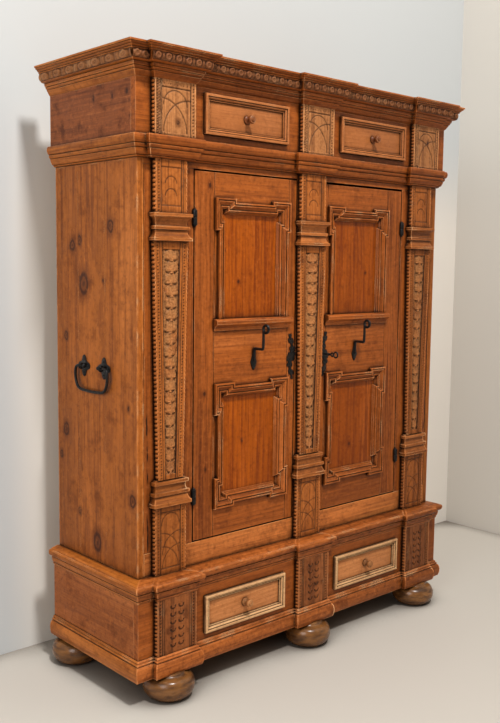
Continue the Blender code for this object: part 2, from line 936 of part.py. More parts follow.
def door(side_name, side):
    """Each door is drawn from its hinge edge inwards, and mirrored by its side."""
    inner_edge = case_half - side * centre_shift - post_half - door_clearance

    def place(u, v, w):
        return (side * (case_half - u), case_front - w, v)

    def piece(bm, u0, u1, w0, w1, v0, v1):
        sorted_slab(bm, place(u0, v0, w0), place(u1, v1, w1))

    bm = bmesh.new()
    piece(bm, door_outer, inner_edge, 0, -door_thickness, door_bottom, door_top)
    node = object_from(bm, "door_frame_" + side_name, "front_pine")
    left = frame_outer + opening_inset
    right = frame_inner - opening_inset
    fields = {
        "upper": (sill_top - sill_height / 2, upper_frame_top - opening_inset),
        "lower": (lower_frame_bottom + opening_inset, lower_frame_top - opening_inset),
    }
    bm = bmesh.new()
    for low, high in fields.values():
        piece(bm, left, right, overrun, -door_thickness - overrun, low, high)
    carve(node, bm, "door_openings_" + side_name)
    bm = bmesh.new()
    for low, high in fields.values():
        piece(
            bm, left - rebate, right + rebate, -panel_setback + fit_gap, -door_thickness - overrun,
            low - rebate, high + rebate,
        )
    carve(node, bm, "door_rebates_" + side_name)
    for field, (low, high) in fields.items():
        bm = bmesh.new()
        piece(
            bm, left - rebate + fit_gap, right + rebate - fit_gap, -panel_setback, -door_thickness,
            low - rebate + fit_gap, high + rebate - fit_gap,
        )
        object_from(bm, "door_" + field + "_panel_" + side_name, "panel_pine")
    profile = frame_profile()
    bm = bmesh.new()
    upper = eared(frame_outer, frame_inner, sill_bottom + sill_height / 3, upper_frame_top, False)
    moulding(bm, upper, profile, place)
    lower = eared(frame_outer, frame_inner, lower_frame_bottom, lower_frame_top, True)
    moulding(bm, lower, profile, place, closed=True)
    fuse(node, bm, "door_mouldings_" + side_name)
    bm = bmesh.new()
    sill_shares = [
        (-0.50, 0.00), (0.30, 0.00), (0.42, 0.30), (0.70, 0.42),
        (1.00, 0.58), (1.00, 0.86), (0.80, 1.00), (-0.50, 1.00),
    ]
    outline = [(sill_reach * r, sill_bottom + sill_height * h) for r, h in sill_shares]
    prism(
        bm, outline, lambda u, v, w: place(w, v, u), frame_outer - sill_overhang / 2,
        frame_inner + sill_overhang,
    )
    fuse(node, bm, "door_sill_" + side_name)

    # Room for the fixed barrels, and the door's own barrels
    bm = bmesh.new()
    for z in (upper_hinge, lower_hinge):
        barrel(bm, side, z - half_barrel - barrel_clearance, z, barrel_clearance)
    carve(node, bm, "door_barrel_room_" + side_name)
    bm = bmesh.new()
    for z in (upper_hinge, lower_hinge):
        barrel(bm, side, z + fit_gap, z + half_barrel)
    fuse(node, bm, "door_barrels_" + side_name)

    # Keyhole
    key_u = inner_edge - lock_inset
    bm = bmesh.new()
    turned(
        bm, [(key_hole_radius, -door_thickness - overrun), (key_hole_radius, overrun)],
        lambda u, v, w: place(key_u + u, lock_height + v, w), small_sides,
    )
    carve(node, bm, "door_keyhole_" + side_name)

    # Scrolled escutcheon
    width_shares = [
        (-0.50, 0.16), (-0.46, 0.30), (-0.40, 0.26), (-0.33, 0.20), (-0.25, 0.34), (-0.19, 0.30),
        (-0.12, 0.78), (-0.05, 1.00), (0.05, 1.00), (0.12, 0.74), (0.19, 0.28), (0.26, 0.36),
        (0.34, 0.24), (0.40, 0.34), (0.46, 0.46), (0.50, 0.22),
    ]
    edge_a = []
    edge_b = []
    for along, width in width_shares:
        sway = escutcheon_sway * math.sin(2 * math.pi * along * sway_turns)
        z = lock_height + escutcheon_tall * along
        edge_a.append((key_u + sway - escutcheon_half * width, z))
        edge_b.append((key_u + sway + escutcheon_half * width, z))
    bm = bmesh.new()
    prism(
        bm, edge_a + edge_b[::-1], lambda u, v, w: place(u, v, w), fit_gap,
        fit_gap + escutcheon_thickness,
    )
    plate = object_from(bm, "escutcheon_" + side_name, "wrought_iron")
    bm = bmesh.new()
    turned(
        bm, [(key_hole_radius, -overrun), (key_hole_radius, overrun)],
        lambda u, v, w: place(key_u + u, lock_height + v, w), small_sides,
    )
    carve(plate, bm, "escutcheon_hole_" + side_name)

    # Rim lock: a cap open towards the door, with a slot in its edge
    lock_low = lock_height - lock_tall / 2
    lock_high = lock_height + lock_tall / 2
    lock_edge = inner_edge - lock_setback
    lock_face = -door_thickness - fit_gap
    bm = bmesh.new()
    piece(bm, lock_edge - lock_width, lock_edge, lock_face, lock_face - lock_depth, lock_low, lock_high)
    case = object_from(bm, "lock_case_" + side_name, "wrought_iron")
    bm = bmesh.new()
    piece(
        bm, lock_edge - lock_width + lock_wall, lock_edge - lock_wall, lock_face + overrun,
        lock_face - lock_depth + lock_wall, lock_low + lock_wall, lock_high - lock_wall,
    )
    carve(case, bm, "lock_room_" + side_name)
    slack = 2 * fit_gap
    bolt_near = lock_face - lock_wall
    bolt_far = bolt_near - bolt_thick
    if side_name == "left":
        name = "lock_bolt_left"
        slot_low = lock_height + bolt_above
        slot_high = slot_low + bolt_tall
        bm = bmesh.new()
        piece(bm, lock_edge - bolt_long, lock_edge - fit_gap, bolt_near, bolt_far, slot_low, slot_high)
    else:
        name = "lock_tongue_right"
        slot_low = lock_height - tongue_long
        slot_high = lock_height + bolt_tall / 2
        bm = bmesh.new()
        piece(bm, key_u - bolt_tall / 2, key_u + bolt_tall / 2, bolt_near, bolt_far, slot_low, slot_high)
    catch = object_from(bm, name, "wrought_iron")
    bm = bmesh.new()
    piece(
        bm, lock_edge - overrun, lock_edge + overrun, bolt_near + slack, bolt_far - slack,
        slot_low - slack, slot_high + slack,
    )
    carve(case, bm, "lock_slot_" + side_name)
    if side_name == "right":
        # The key's shank passes through the tongue that it turns
        bm = bmesh.new()
        turned(
            bm, [(key_radius + fit_gap, bolt_far - overrun), (key_radius + fit_gap, bolt_near + overrun)],
            lambda u, v, w: place(key_u + u, lock_height + v, w), small_sides,
        )
        carve(catch, bm, "tongue_eye")

    # Hooked pull: a leaf on the door, a shank out, an arm up and a ring
    pull_u = (frame_outer + frame_inner) / 2 + pull_shift
    leaf_shares = [
        (0.00, -0.50), (0.55, -0.30), (1.00, 0.02), (0.62, 0.26), (0.42, 0.50),
        (-0.42, 0.50), (-0.62, 0.26), (-1.00, 0.02), (-0.55, -0.30),
    ]
    rings = []
    steps = [(1, fit_gap), (1, leaf_thickness * leaf_rim_share), (leaf_face_share, leaf_thickness)]
    for share, out in steps:
        ring = []
        for u, v in leaf_shares:
            across = pull_u + leaf_half * u * share
            ring.append(place(across, pull_height + leaf_tall * v * share, out))
        rings.append(ring)
    bm = bmesh.new()
    loft(bm, rings)
    node = object_from(bm, "pull_" + side_name, "wrought_iron")
    shank_z = pull_height + pull_rise
    arm_top = shank_z + pull_arm
    root = pull_bar + 2 * fit_gap
    stem = [
        place(pull_u, pull_height, root), place(pull_u, shank_z - pull_bar, root),
        place(pull_u, shank_z, root + pull_bar), place(pull_u, shank_z, pull_reach - pull_bar),
        place(pull_u, shank_z + pull_bar, pull_reach), place(pull_u, arm_top, pull_reach),
    ]
    bm = bmesh.new()
    rod(bm, stem, pull_bar)
    fuse(node, bm, "pull_stem_" + side_name)
    ring = []
    for k in range(ring_sides):
        angle = 2 * math.pi * k / ring_sides
        out = pull_reach + pull_ring * (1 + math.cos(angle))
        ring.append(place(pull_u, arm_top + pull_ring * math.sin(angle), out))
    bm = bmesh.new()
    rod(bm, ring, pull_ring_wire, small_sides - 2, closed=True)
    fuse(node, bm, "pull_ring_" + side_name)
    return place, key_u


doors = {side_name: door(side_name, side) for side_name, side in sides.items()}

# Key in the right door
place, key_u = doors["right"]
bm = bmesh.new()
turned(
    bm, [(key_radius, -key_in), (key_radius, key_out)],
    lambda u, v, w: place(key_u + u, lock_height + v, w), small_sides,
)
key = object_from(bm, "key", "wrought_iron", smooth=True)
bm = bmesh.new()
far = key_out
for ring_name, radius in (("small", small_ring), ("large", large_ring)):
    far += radius
    ring = []
    for k in range(ring_sides):
        angle = 2 * math.pi * k / ring_sides
        ring.append(place(key_u, lock_height + radius * math.sin(angle), far + radius * math.cos(angle)))
    far += radius + ring_wire / 2
    bm = bmesh.new()
    rod(bm, ring, ring_wire, small_sides - 2, closed=True)
    fuse(key, bm, "key_ring_" + ring_name)

# Drawers
drawer_moulding_shares = [
    (0.00, -0.20), (0.00, 0.80), (0.12, 1.00), (0.36, 1.00),
    (0.48, 0.62), (0.70, 0.52), (1.00, 0.12), (1.00, -0.20),
]
knob_shares = [
    (0.60, -0.20), (0.60, 0.08), (0.42, 0.18), (0.42, 0.38),
    (0.90, 0.56), (1.00, 0.74), (0.86, 0.92), (0.40, 1.00),
]


def drawer(name, centre, low, front_y):
    half = drawer_width / 2
    high = low + drawer_height
    node = box_node(
        name + "_front", "drawer_pine", centre - half, centre + half,
        front_y, front_y + drawer_front_thickness, low, high,
    )
    path = [(centre - half, low), (centre - half, high), (centre + half, high), (centre + half, low)]
    profile = []
    for across, out in drawer_moulding_shares:
        profile.append((drawer_moulding_width * across, drawer_moulding_proud * out))
    bm = bmesh.new()
    moulding(bm, path, profile, lambda u, v, w: (u, front_y - w, v), closed=True)
    fuse(node, bm, name + "_moulding")
    bm = bmesh.new()
    turned(
        bm, [(knob_radius * r, knob_length * h) for r, h in knob_shares],
        lambda u, v, w: (centre + u, front_y - w, (low + high) / 2 + v), ring_sides,
    )
    fuse(node, bm, name + "_knob")
    box_half = half - drawer_play
    box_front = front_y + drawer_front_thickness + fit_gap
    box_back = box_front + drawer_box_depth
    box_high = high - drawer_box_drop
    box = box_node(
        name + "_box", "inner_pine", centre - box_half, centre + box_half,
        box_front, box_back, low, box_high,
    )
    bm = bmesh.new()
    slab(
        bm, centre - box_half + drawer_side, centre + box_half - drawer_side,
        box_front + drawer_side, box_back - drawer_side, low + drawer_side, high + overrun,
    )
    carve(box, bm, name + "_room")


for side_name, side in sides.items():
    drawer("base_drawer_" + side_name, side * drawer_offset, base_drawer_bottom, base_front_y)
    drawer("frieze_drawer_" + side_name, side * drawer_offset, frieze_drawer_bottom, frieze_front_y)


# Bail handles
bail_tip_shares = [(2.0, 0.5), (1.6, 1.0), (1.0, 1.0)]
bail_neck_share = 0.5
bail_round_share = 0.3
bail_lean_share = 0.2
bail_side_share = 0.65
bail_low_share = 0.92
bail_grip_share = 0.6


def bail(side_name, side):
    """A bar with two turned-in ends, drawn as a half from its end to the grip and mirrored."""
    x = side * (case_half + eye_out)
    mid = case_front + (bail_front + bail_back) / 2
    half = (bail_back - bail_front) / 2
    reach = half + bail_overhang
    corner = bail_overhang / 2
    inside = half - eye_wire - bail_wire
    rounding = corner * bail_round_share
    half_bail = [(inside - bail_end * back, 0, bail_end * thick) for back, thick in bail_tip_shares]
    half_bail += [
        (inside - bail_end * bail_neck_share, 0, bail_wire),
        (reach - corner, 0, bail_wire),
        (reach - rounding, -rounding, bail_wire),
        (reach, -corner, bail_wire),
        (reach - corner * bail_lean_share, -bail_drop * bail_side_share, bail_wire),
        (reach - corner, -bail_drop * bail_low_share, bail_wire),
        (half * bail_grip_share, -bail_drop, bail_wire),
    ]
    points = [(x, mid + y, bail_height + z) for y, z, wire in half_bail]
    points += [(x, mid - y, bail_height + z) for y, z, wire in reversed(half_bail)]
    wires = [wire for y, z, wire in half_bail]
    bm = bmesh.new()
    rod(bm, points, wires + wires[::-1])
    object_from(bm, "bail_" + side_name, "wrought_iron", smooth=True)


for side_name, side in sides.items():
    bail(side_name, side)
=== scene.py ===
# %% [markdown]
# A tall cupboard of old waxed pine, with two doors, four drawers, carved pilasters and five bun
# feet. The frame brings the moving solids, and each step below dresses one part of it.
# Everything is measured in metres, with the floor at zero and the front facing -Y.

# %% Load the frame
import math
import random
from functools import partial

import bmesh
import bpy
from mathutils import Matrix, Vector, noise


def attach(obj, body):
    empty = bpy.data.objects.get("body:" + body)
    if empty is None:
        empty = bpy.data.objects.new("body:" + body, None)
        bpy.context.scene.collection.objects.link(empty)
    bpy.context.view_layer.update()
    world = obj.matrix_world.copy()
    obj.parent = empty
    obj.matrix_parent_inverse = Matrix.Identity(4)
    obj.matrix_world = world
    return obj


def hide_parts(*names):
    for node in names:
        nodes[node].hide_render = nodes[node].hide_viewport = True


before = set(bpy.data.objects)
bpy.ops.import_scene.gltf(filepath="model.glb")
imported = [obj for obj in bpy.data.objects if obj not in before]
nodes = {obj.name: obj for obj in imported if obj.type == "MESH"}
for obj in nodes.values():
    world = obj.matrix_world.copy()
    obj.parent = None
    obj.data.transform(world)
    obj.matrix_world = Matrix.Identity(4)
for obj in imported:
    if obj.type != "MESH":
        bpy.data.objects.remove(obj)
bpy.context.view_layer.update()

# %% [markdown]
# The same named sizes as the solids. A maker writes each size once and works from it, so that
# mouldings, boards and carving meet where they should.

# %% Sizes of the case
fit_gap = 0.0003
case_half = 0.750
case_front, case_back = -0.1915, 0.2885
case_bottom, case_top = 0.407, 1.7297
board = 0.024
block_half, break_forward = 0.079, 0.018
block_centres = [-0.630, 0.007, 0.630]
pilaster_centres = {"left": -0.632, "centre": 0.007, "right": 0.632}
sides = {"left": -1, "right": 1}
print("case", 2 * case_half, "wide,", case_top - case_bottom, "tall")

# %% [markdown]
# The camera stands where the photographer stood: to the left, at chest height, turned toward the
# doors and tipped a little down. Three turns build the view, and the picture's up and right
# directions become the columns of its matrix.

# %% Camera
camera_place = Vector((-2.3704, -2.4942, 1.407))
turn, tip, roll = 0.7377, 0.1061, 0.0117
forward = Vector((math.sin(turn) * math.cos(tip), math.cos(turn) * math.cos(tip), -math.sin(tip)))
level_right = Vector((math.cos(turn), -math.sin(turn), 0))
level_up = level_right.cross(forward)
view_right = math.cos(roll) * level_right + math.sin(roll) * level_up
view_up = math.cos(roll) * level_up - math.sin(roll) * level_right
lens = bpy.data.cameras.new("photographer")
lens.sensor_width, lens.lens, lens.clip_start = 36, 45.12, 0.05
camera = bpy.data.objects.new("photographer", lens)
facing = Matrix((view_right, view_up, -forward)).transposed().to_4x4()
camera.matrix_world = Matrix.Translation(camera_place) @ facing
bpy.context.scene.collection.objects.link(camera)
bpy.context.scene.camera = camera
print("camera looks along", tuple(round(part, 3) for part in forward))

# %% [markdown]
# Node trees are easier to read when making one node is one short line. The first helper adds a
# node, sets its properties, and fills its inputs from numbers or from other nodes' outputs. The
# others name the few kinds of node that the finishes use again and again.


# %% Node helpers
def new_material(name):
    material = bpy.data.materials.new(name)
    material.use_nodes = True
    material.node_tree.nodes.clear()
    return material, material.node_tree


def fill(tree, socket, value):
    if isinstance(value, bpy.types.NodeSocket):
        tree.links.new(value, socket)
    else:
        socket.default_value = value


def node(tree, kind, inputs=(), **settings):
    made = tree.nodes.new("ShaderNode" + kind)
    for key, value in settings.items():
        setattr(made, key, value)
    for key, value in dict(inputs).items():
        fill(tree, made.inputs[key], value)
    return made


def math_of(tree, operation, *values):
    return node(tree, "Math", dict(enumerate(values)), operation=operation).outputs[0]


def vector_of(tree, operation, *values, out=0):
    return node(tree, "VectorMath", dict(enumerate(values)), operation=operation).outputs[out]


def blend_of(tree, share, first, second):
    made = node(tree, "Mix", {0: share}, data_type="RGBA", blend_type="MIX")
    for socket, colour in ((6, first), (7, second)):
        fill(tree, made.inputs[socket], (*colour, 1) if isinstance(colour, tuple) else colour)
    return made.outputs[2]


def range_of(tree, value, low, high, start=0.0, end=1.0):
    limits = {"Value": value, 1: low, 2: high, 3: start, 4: end}
    return node(tree, "MapRange", limits, interpolation_type="SMOOTHSTEP").outputs[0]


def noise_of(tree, place, scale, detail, roughness=0.5, out=0):
    inputs = {"Vector": place, "Scale": scale, "Detail": detail, "Roughness": roughness}
    return node(tree, "TexNoise", inputs).outputs[out]


def mapped(tree, place, **change):
    return node(tree, "Mapping", {"Vector": place, **change}).outputs[0]


def openness(tree, reach, samples=6):
    """1 in the open, less where something stands within that reach."""
    return node(tree, "AmbientOcclusion", {"Distance": reach}, samples=samples).outputs["AO"]


def mark(tree, name):
    return node(tree, "Attribute", attribute_name=name).outputs["Fac"]


def object_place(tree):
    return node(tree, "TexCoord").outputs["Object"]


def axes_of(tree, place):
    return node(tree, "SeparateXYZ", {0: place}).outputs


def stained(tree, colour, *washes):
    """Washes of a tint, each laid where its pattern lies between two values."""
    for pattern, low, high, share, tint in washes:
        colour = blend_of(tree, range_of(tree, pattern, low, high, 0.0, share), colour, tint)
    return colour


def surface_of(tree, colour, roughness, height, strength, depth, specular):
    bump = node(tree, "Bump", {"Height": height, "Strength": strength, "Distance": depth}).outputs[0]
    shader = node(tree, "BsdfPrincipled", {
        "Base Color": colour, "Roughness": roughness, "Normal": bump, "Specular IOR Level": specular,
    })
    node(tree, "OutputMaterial", {"Surface": shader.outputs[0]})


def scaled(parts, share):
    return tuple(share * part for part in parts)


def paint(shade):
    """Eight-bit display values made into the scene's linear colour."""
    parts = [part / 255 for part in shade]
    return tuple(part / 12.92 if part <= 0.04045 else ((part + 0.055) / 1.055) ** 2.4 for part in parts)


print("helpers for materials")

# %% [markdown]
# The floor is plain and pale, and two pale walls stand behind the cupboard as in a photo studio.
# The floor has a painted shadow right under the cupboard, and the wall behind has painted light
# low down from the cupboard's left edge to the right: it is lighter and warmer there, as if lit by
# light bounced from the wood. The walls are painted on one side only: seen from behind they let
# the view through, so the cupboard can be looked at from all round.

# %% Floor and walls
floor_paint, wall_paint, near_paint = paint((198, 191, 180)), paint((197, 199, 198)), paint((211, 205, 195))
bounce_light_paint, under_shadow_paint = paint((232, 224, 213)), paint((84, 70, 58))
wall_behind, wall_beside, far = 0.420, 1.770, 9.0


# Painted shadow: the floor turns dark brown where the cupboard stands close above it.
def under_shade(tree, colour):
    near = openness(tree, 0.16, 8)
    return stained(tree, colour, (near, 0.85, 0.25, 0.85, under_shadow_paint))


# Painted light: a lighter, warmer paint low on the wall behind, from the cupboard's left edge to the right,
# stands for fill light and light bounced from the wood.
def warm_light(tree, colour):
    parts = axes_of(tree, object_place(tree))
    warm = math_of(tree, "MULTIPLY", range_of(tree, parts[0], -0.92, -0.72),
                   range_of(tree, parts[2], 2.1, 1.5))
    return blend_of(tree, warm, colour, bounce_light_paint)


def stage_paint(name, shade, one_sided, change=None):
    """Matt paint. change may tint it further."""
    material, tree = new_material(name)
    speckle = node(tree, "TexNoise", {"Scale": 3.0, "Detail": 2.0}).outputs[0]
    colour = blend_of(tree, range_of(tree, speckle, 0.3, 0.7, 0.97, 1.0), (0, 0, 0), shade)
    if change:
        colour = change(tree, colour)
    surface = node(tree, "BsdfPrincipled", {"Base Color": colour, "Roughness": 0.8}).outputs[0]
    if one_sided:
        behind = node(tree, "NewGeometry").outputs["Backfacing"]
        clear = node(tree, "BsdfTransparent").outputs[0]
        surface = node(tree, "MixShader", {0: behind, 1: surface, 2: clear}).outputs[0]
    node(tree, "OutputMaterial", {"Surface": surface})
    return material


def stage_sheet(name, corners, material):
    bm = bmesh.new()
    bm.faces.new([bm.verts.new(corner) for corner in corners])
    mesh = bpy.data.meshes.new(name)
    bm.to_mesh(mesh)
    bm.free()
    sheet = bpy.data.objects.new(name, mesh)
    sheet.data.materials.append(material)
    bpy.context.scene.collection.objects.link(sheet)


stage_sheet("floor", [(-far, -far, 0), (far, -far, 0), (far, far, 0), (-far, far, 0)],
            stage_paint("pale_floor", floor_paint, False, under_shade))
for wall, (x0, y0), (x1, y1), plaster in (
    ("wall_behind", (-far, wall_behind), (wall_beside, wall_behind),
     stage_paint("pale_wall", wall_paint, True, warm_light)),
    ("wall_beside", (wall_beside, wall_behind), (wall_beside, -far),
     stage_paint("pale_side_wall", near_paint, True)),
):
    stage_sheet(wall, [(x0, y0, 0), (x1, y1, 0), (x1, y1, far), (x0, y0, far)], plaster)
print("floor and two walls")

# %% [markdown]
# Two large soft lamps and an even sky give plain studio light. The main lamp hangs high in front
# of the doors, so knobs and ledges throw their shadows almost straight down. The other one fills
# the left side of the case.


# %% Lamps
def soft_lamp(name, place, aim, size, watts):
    lamp = bpy.data.lights.new(name, "AREA")
    lamp.shape = "DISK"
    lamp.size = size
    lamp.energy = watts
    made = bpy.data.objects.new(name, lamp)
    made.location = place
    made.rotation_euler = (Vector(aim) - Vector(place)).to_track_quat("-Z", "Y").to_euler()
    made.visible_camera = False
    bpy.context.scene.collection.objects.link(made)


soft_lamp("main_lamp", (-1.1, -3.2, 6.2), (-0.2, 0, 1.1), 0.8, 356)
soft_lamp("left_lamp", (-4.0, -1.9, 2.5), (-0.6, 0, 1.0), 2.2, 58)
sky_strength = 0.23
sky = bpy.data.worlds.new("even_sky")
sky.use_nodes = True
background = sky.node_tree.nodes["Background"]
background.inputs["Color"].default_value = (1, 1, 1, 1)
background.inputs["Strength"].default_value = sky_strength
bpy.context.scene.world = sky
bpy.context.scene.view_settings.view_transform = "Standard"
print("two lamps and an even sky")

# %% [markdown]
# Old pine shows its growth rings as narrow dark lines on a honey ground. A board is a slice of a
# trunk, so the pattern here is rings round a trunk's axis that lies a little off the board and
# leans through it: where the slice runs nearly along the rings they open into tall arches. A
# stretched noise makes the rings sway.

# %% Growth rings
turns_to_grain = {"z": (0, 0, 0), "x": (0, math.pi / 2, 0), "y": (math.pi / 2, 0, 0)}


def ring_pattern(tree, place, grain, seed, pitch, trunk, lean):
    """The place measured along the grain, the same squeezed, and the node that draws the rings."""
    shift = random.Random(seed)
    offset = (trunk[0] + shift.uniform(-0.01, 0.01), trunk[1], shift.uniform(-3, 3))
    along = mapped(tree, place, Rotation=turns_to_grain[grain], Location=offset)
    squeezed = mapped(tree, along, Scale=(1, 1, 0.14))
    sway = noise_of(tree, squeezed, 6.0, 3.0, out="Color")
    swayed = vector_of(tree, "MULTIPLY_ADD", sway, (0.055, 0.055, 0.0), along)
    leaned = mapped(tree, swayed, Rotation=(*lean, 0))
    rings = node(
        tree, "TexWave", {"Vector": leaned, "Scale": 2 * math.pi / (20 * pitch), "Distortion": 2.6,
                          "Detail": 3.0, "Detail Scale": 0.8, "Detail Roughness": 0.6},
        wave_type="RINGS", rings_direction="Z", wave_profile="SAW",
    )
    return along, squeezed, rings


def ring_lines(tree, rings, squeezed, lines):
    """The dark late wood of each year, which fades slowly on one side and ends sharply on the other."""
    saw = rings.outputs["Fac"]
    year = math_of(tree, "MULTIPLY", range_of(tree, saw, 0.15, 0.88),
                   range_of(tree, saw, 0.88, 1.0, 1.0, 0.0))
    strength = noise_of(tree, squeezed, 11.0, 4.0)
    return math_of(tree, "MULTIPLY", year, range_of(tree, strength, 0.38, 0.66, 0.12 * lines, lines))


print("growth rings")

# %% [markdown]
# A knot is a branch cut across. The rings swerve round it, the wood about it is stained, and a
# ring of bark stands round a dark heart. A small knot is one dark spot. Each knot is a distance
# from one place on the face, roughened so that it isn't a true circle.

# %% Knots
knot_growth, small_knot, knot_bark = 1.3, 0.009, paint((58, 26, 10))
flat_levels = {"x": (0, 1, 0.72), "y": (1, 0, 0.72)}


def knot_marks(tree, place, knots, flat, rings):
    """How strongly each spot shows a knot's bark, and the stain round it."""
    level = flat_levels[flat]
    wobble = noise_of(tree, place, 38.0, 3.0, out="Color")
    flattened = vector_of(tree, "MULTIPLY", place, level)
    rough = vector_of(tree, "MULTIPLY_ADD", wobble, scaled(level, 0.014), flattened)
    push, barks, stains = 0.0, [], []
    for spot, radius in knots:
        radius = knot_growth * radius
        spot = Vector([a * b + 0.007 * b for a, b in zip(spot, level)])
        away = vector_of(tree, "DISTANCE", rough, spot, out="Value")
        near = partial(range_of, tree, away)
        push = math_of(tree, "ADD", push, near(0.0, 4.2 * radius, 5.5, 0.0))
        if radius < small_knot:
            bark = near(0.5 * radius, 1.0 * radius, 1.0, 0.0)
        else:
            off_ring = math_of(tree, "ABSOLUTE", math_of(tree, "SUBTRACT", away, 0.80 * radius))
            bark = range_of(tree, off_ring, 0.05 * radius, 0.40 * radius, 1.0, 0.0)
            heart = math_of(tree, "MULTIPLY", near(0.05 * radius, 0.42 * radius, 0.9, 0.25),
                            near(0.7 * radius, 0.9 * radius, 1.0, 0.0))
            bark = math_of(tree, "MAXIMUM", bark, heart)
        barks.append(bark)
        stains.append(near(0.8 * radius, 2.3 * radius, 0.75, 0.0))
    tree.links.new(push, rings.inputs["Phase Offset"])
    return strongest(tree, barks), strongest(tree, stains)


def strongest(tree, values):
    found = values[0]
    for value in values[1:]:
        found = math_of(tree, "MAXIMUM", found, value)
    return found


print("knots")

# %% [markdown]
# A crack is a thin dark line along the grain that wanders a little and breaks off in places.

# %% Cracks
# This black marks the cracks, and the painted shade in narrow hollows.
crevice_black = paint((26, 11, 5))


def cracked(tree, colour, place, parts, patch, cracks):
    """cracks are (place across, lowest, highest) on a face that looks to the front."""
    wander = noise_of(tree, place, 9.0, 5.0)
    for spot, low, high in cracks:
        off = math_of(tree, "MULTIPLY_ADD", wander, 0.020, math_of(tree, "SUBTRACT", parts[0], spot + 0.010))
        split = range_of(tree, math_of(tree, "ABSOLUTE", off), 0.0014, 0.0036, 1.0, 0.0)
        ends = math_of(tree, "MULTIPLY", range_of(tree, parts[2], low, low + 0.04),
                       range_of(tree, parts[2], high - 0.04, high, 1.0, 0.0))
        broken = math_of(tree, "MULTIPLY", ends, range_of(tree, patch, 0.38, 0.50))
        colour = blend_of(tree, math_of(tree, "MULTIPLY", split, broken), colour, crevice_black)
    return colour


print("cracks")

# %% [markdown]
# Now the whole finish. Broad and narrow noises tint the ground, a stretched one adds fibres, and
# fine smudges dull it. The right and lower parts are painted darker, as painted shade where less
# light falls.
# Wear lightens the edges, found by comparing the normal with a rounded one. Dust and painted shade
# darken the narrow hollows, and old dirt and painted shadow darken recesses under ledges. Carved
# pieces carry marks for their cuts, their high spots and their rough fields.

# %% Pine
# The first two set painted shade: how much darker the pine is painted towards the right and towards the
# bottom.
darker_right, darker_low, wax_shine = 0.30, 0.10, 0.16
bare_wood, dirt_and_shade_brown = paint((232, 176, 124)), paint((58, 24, 8))


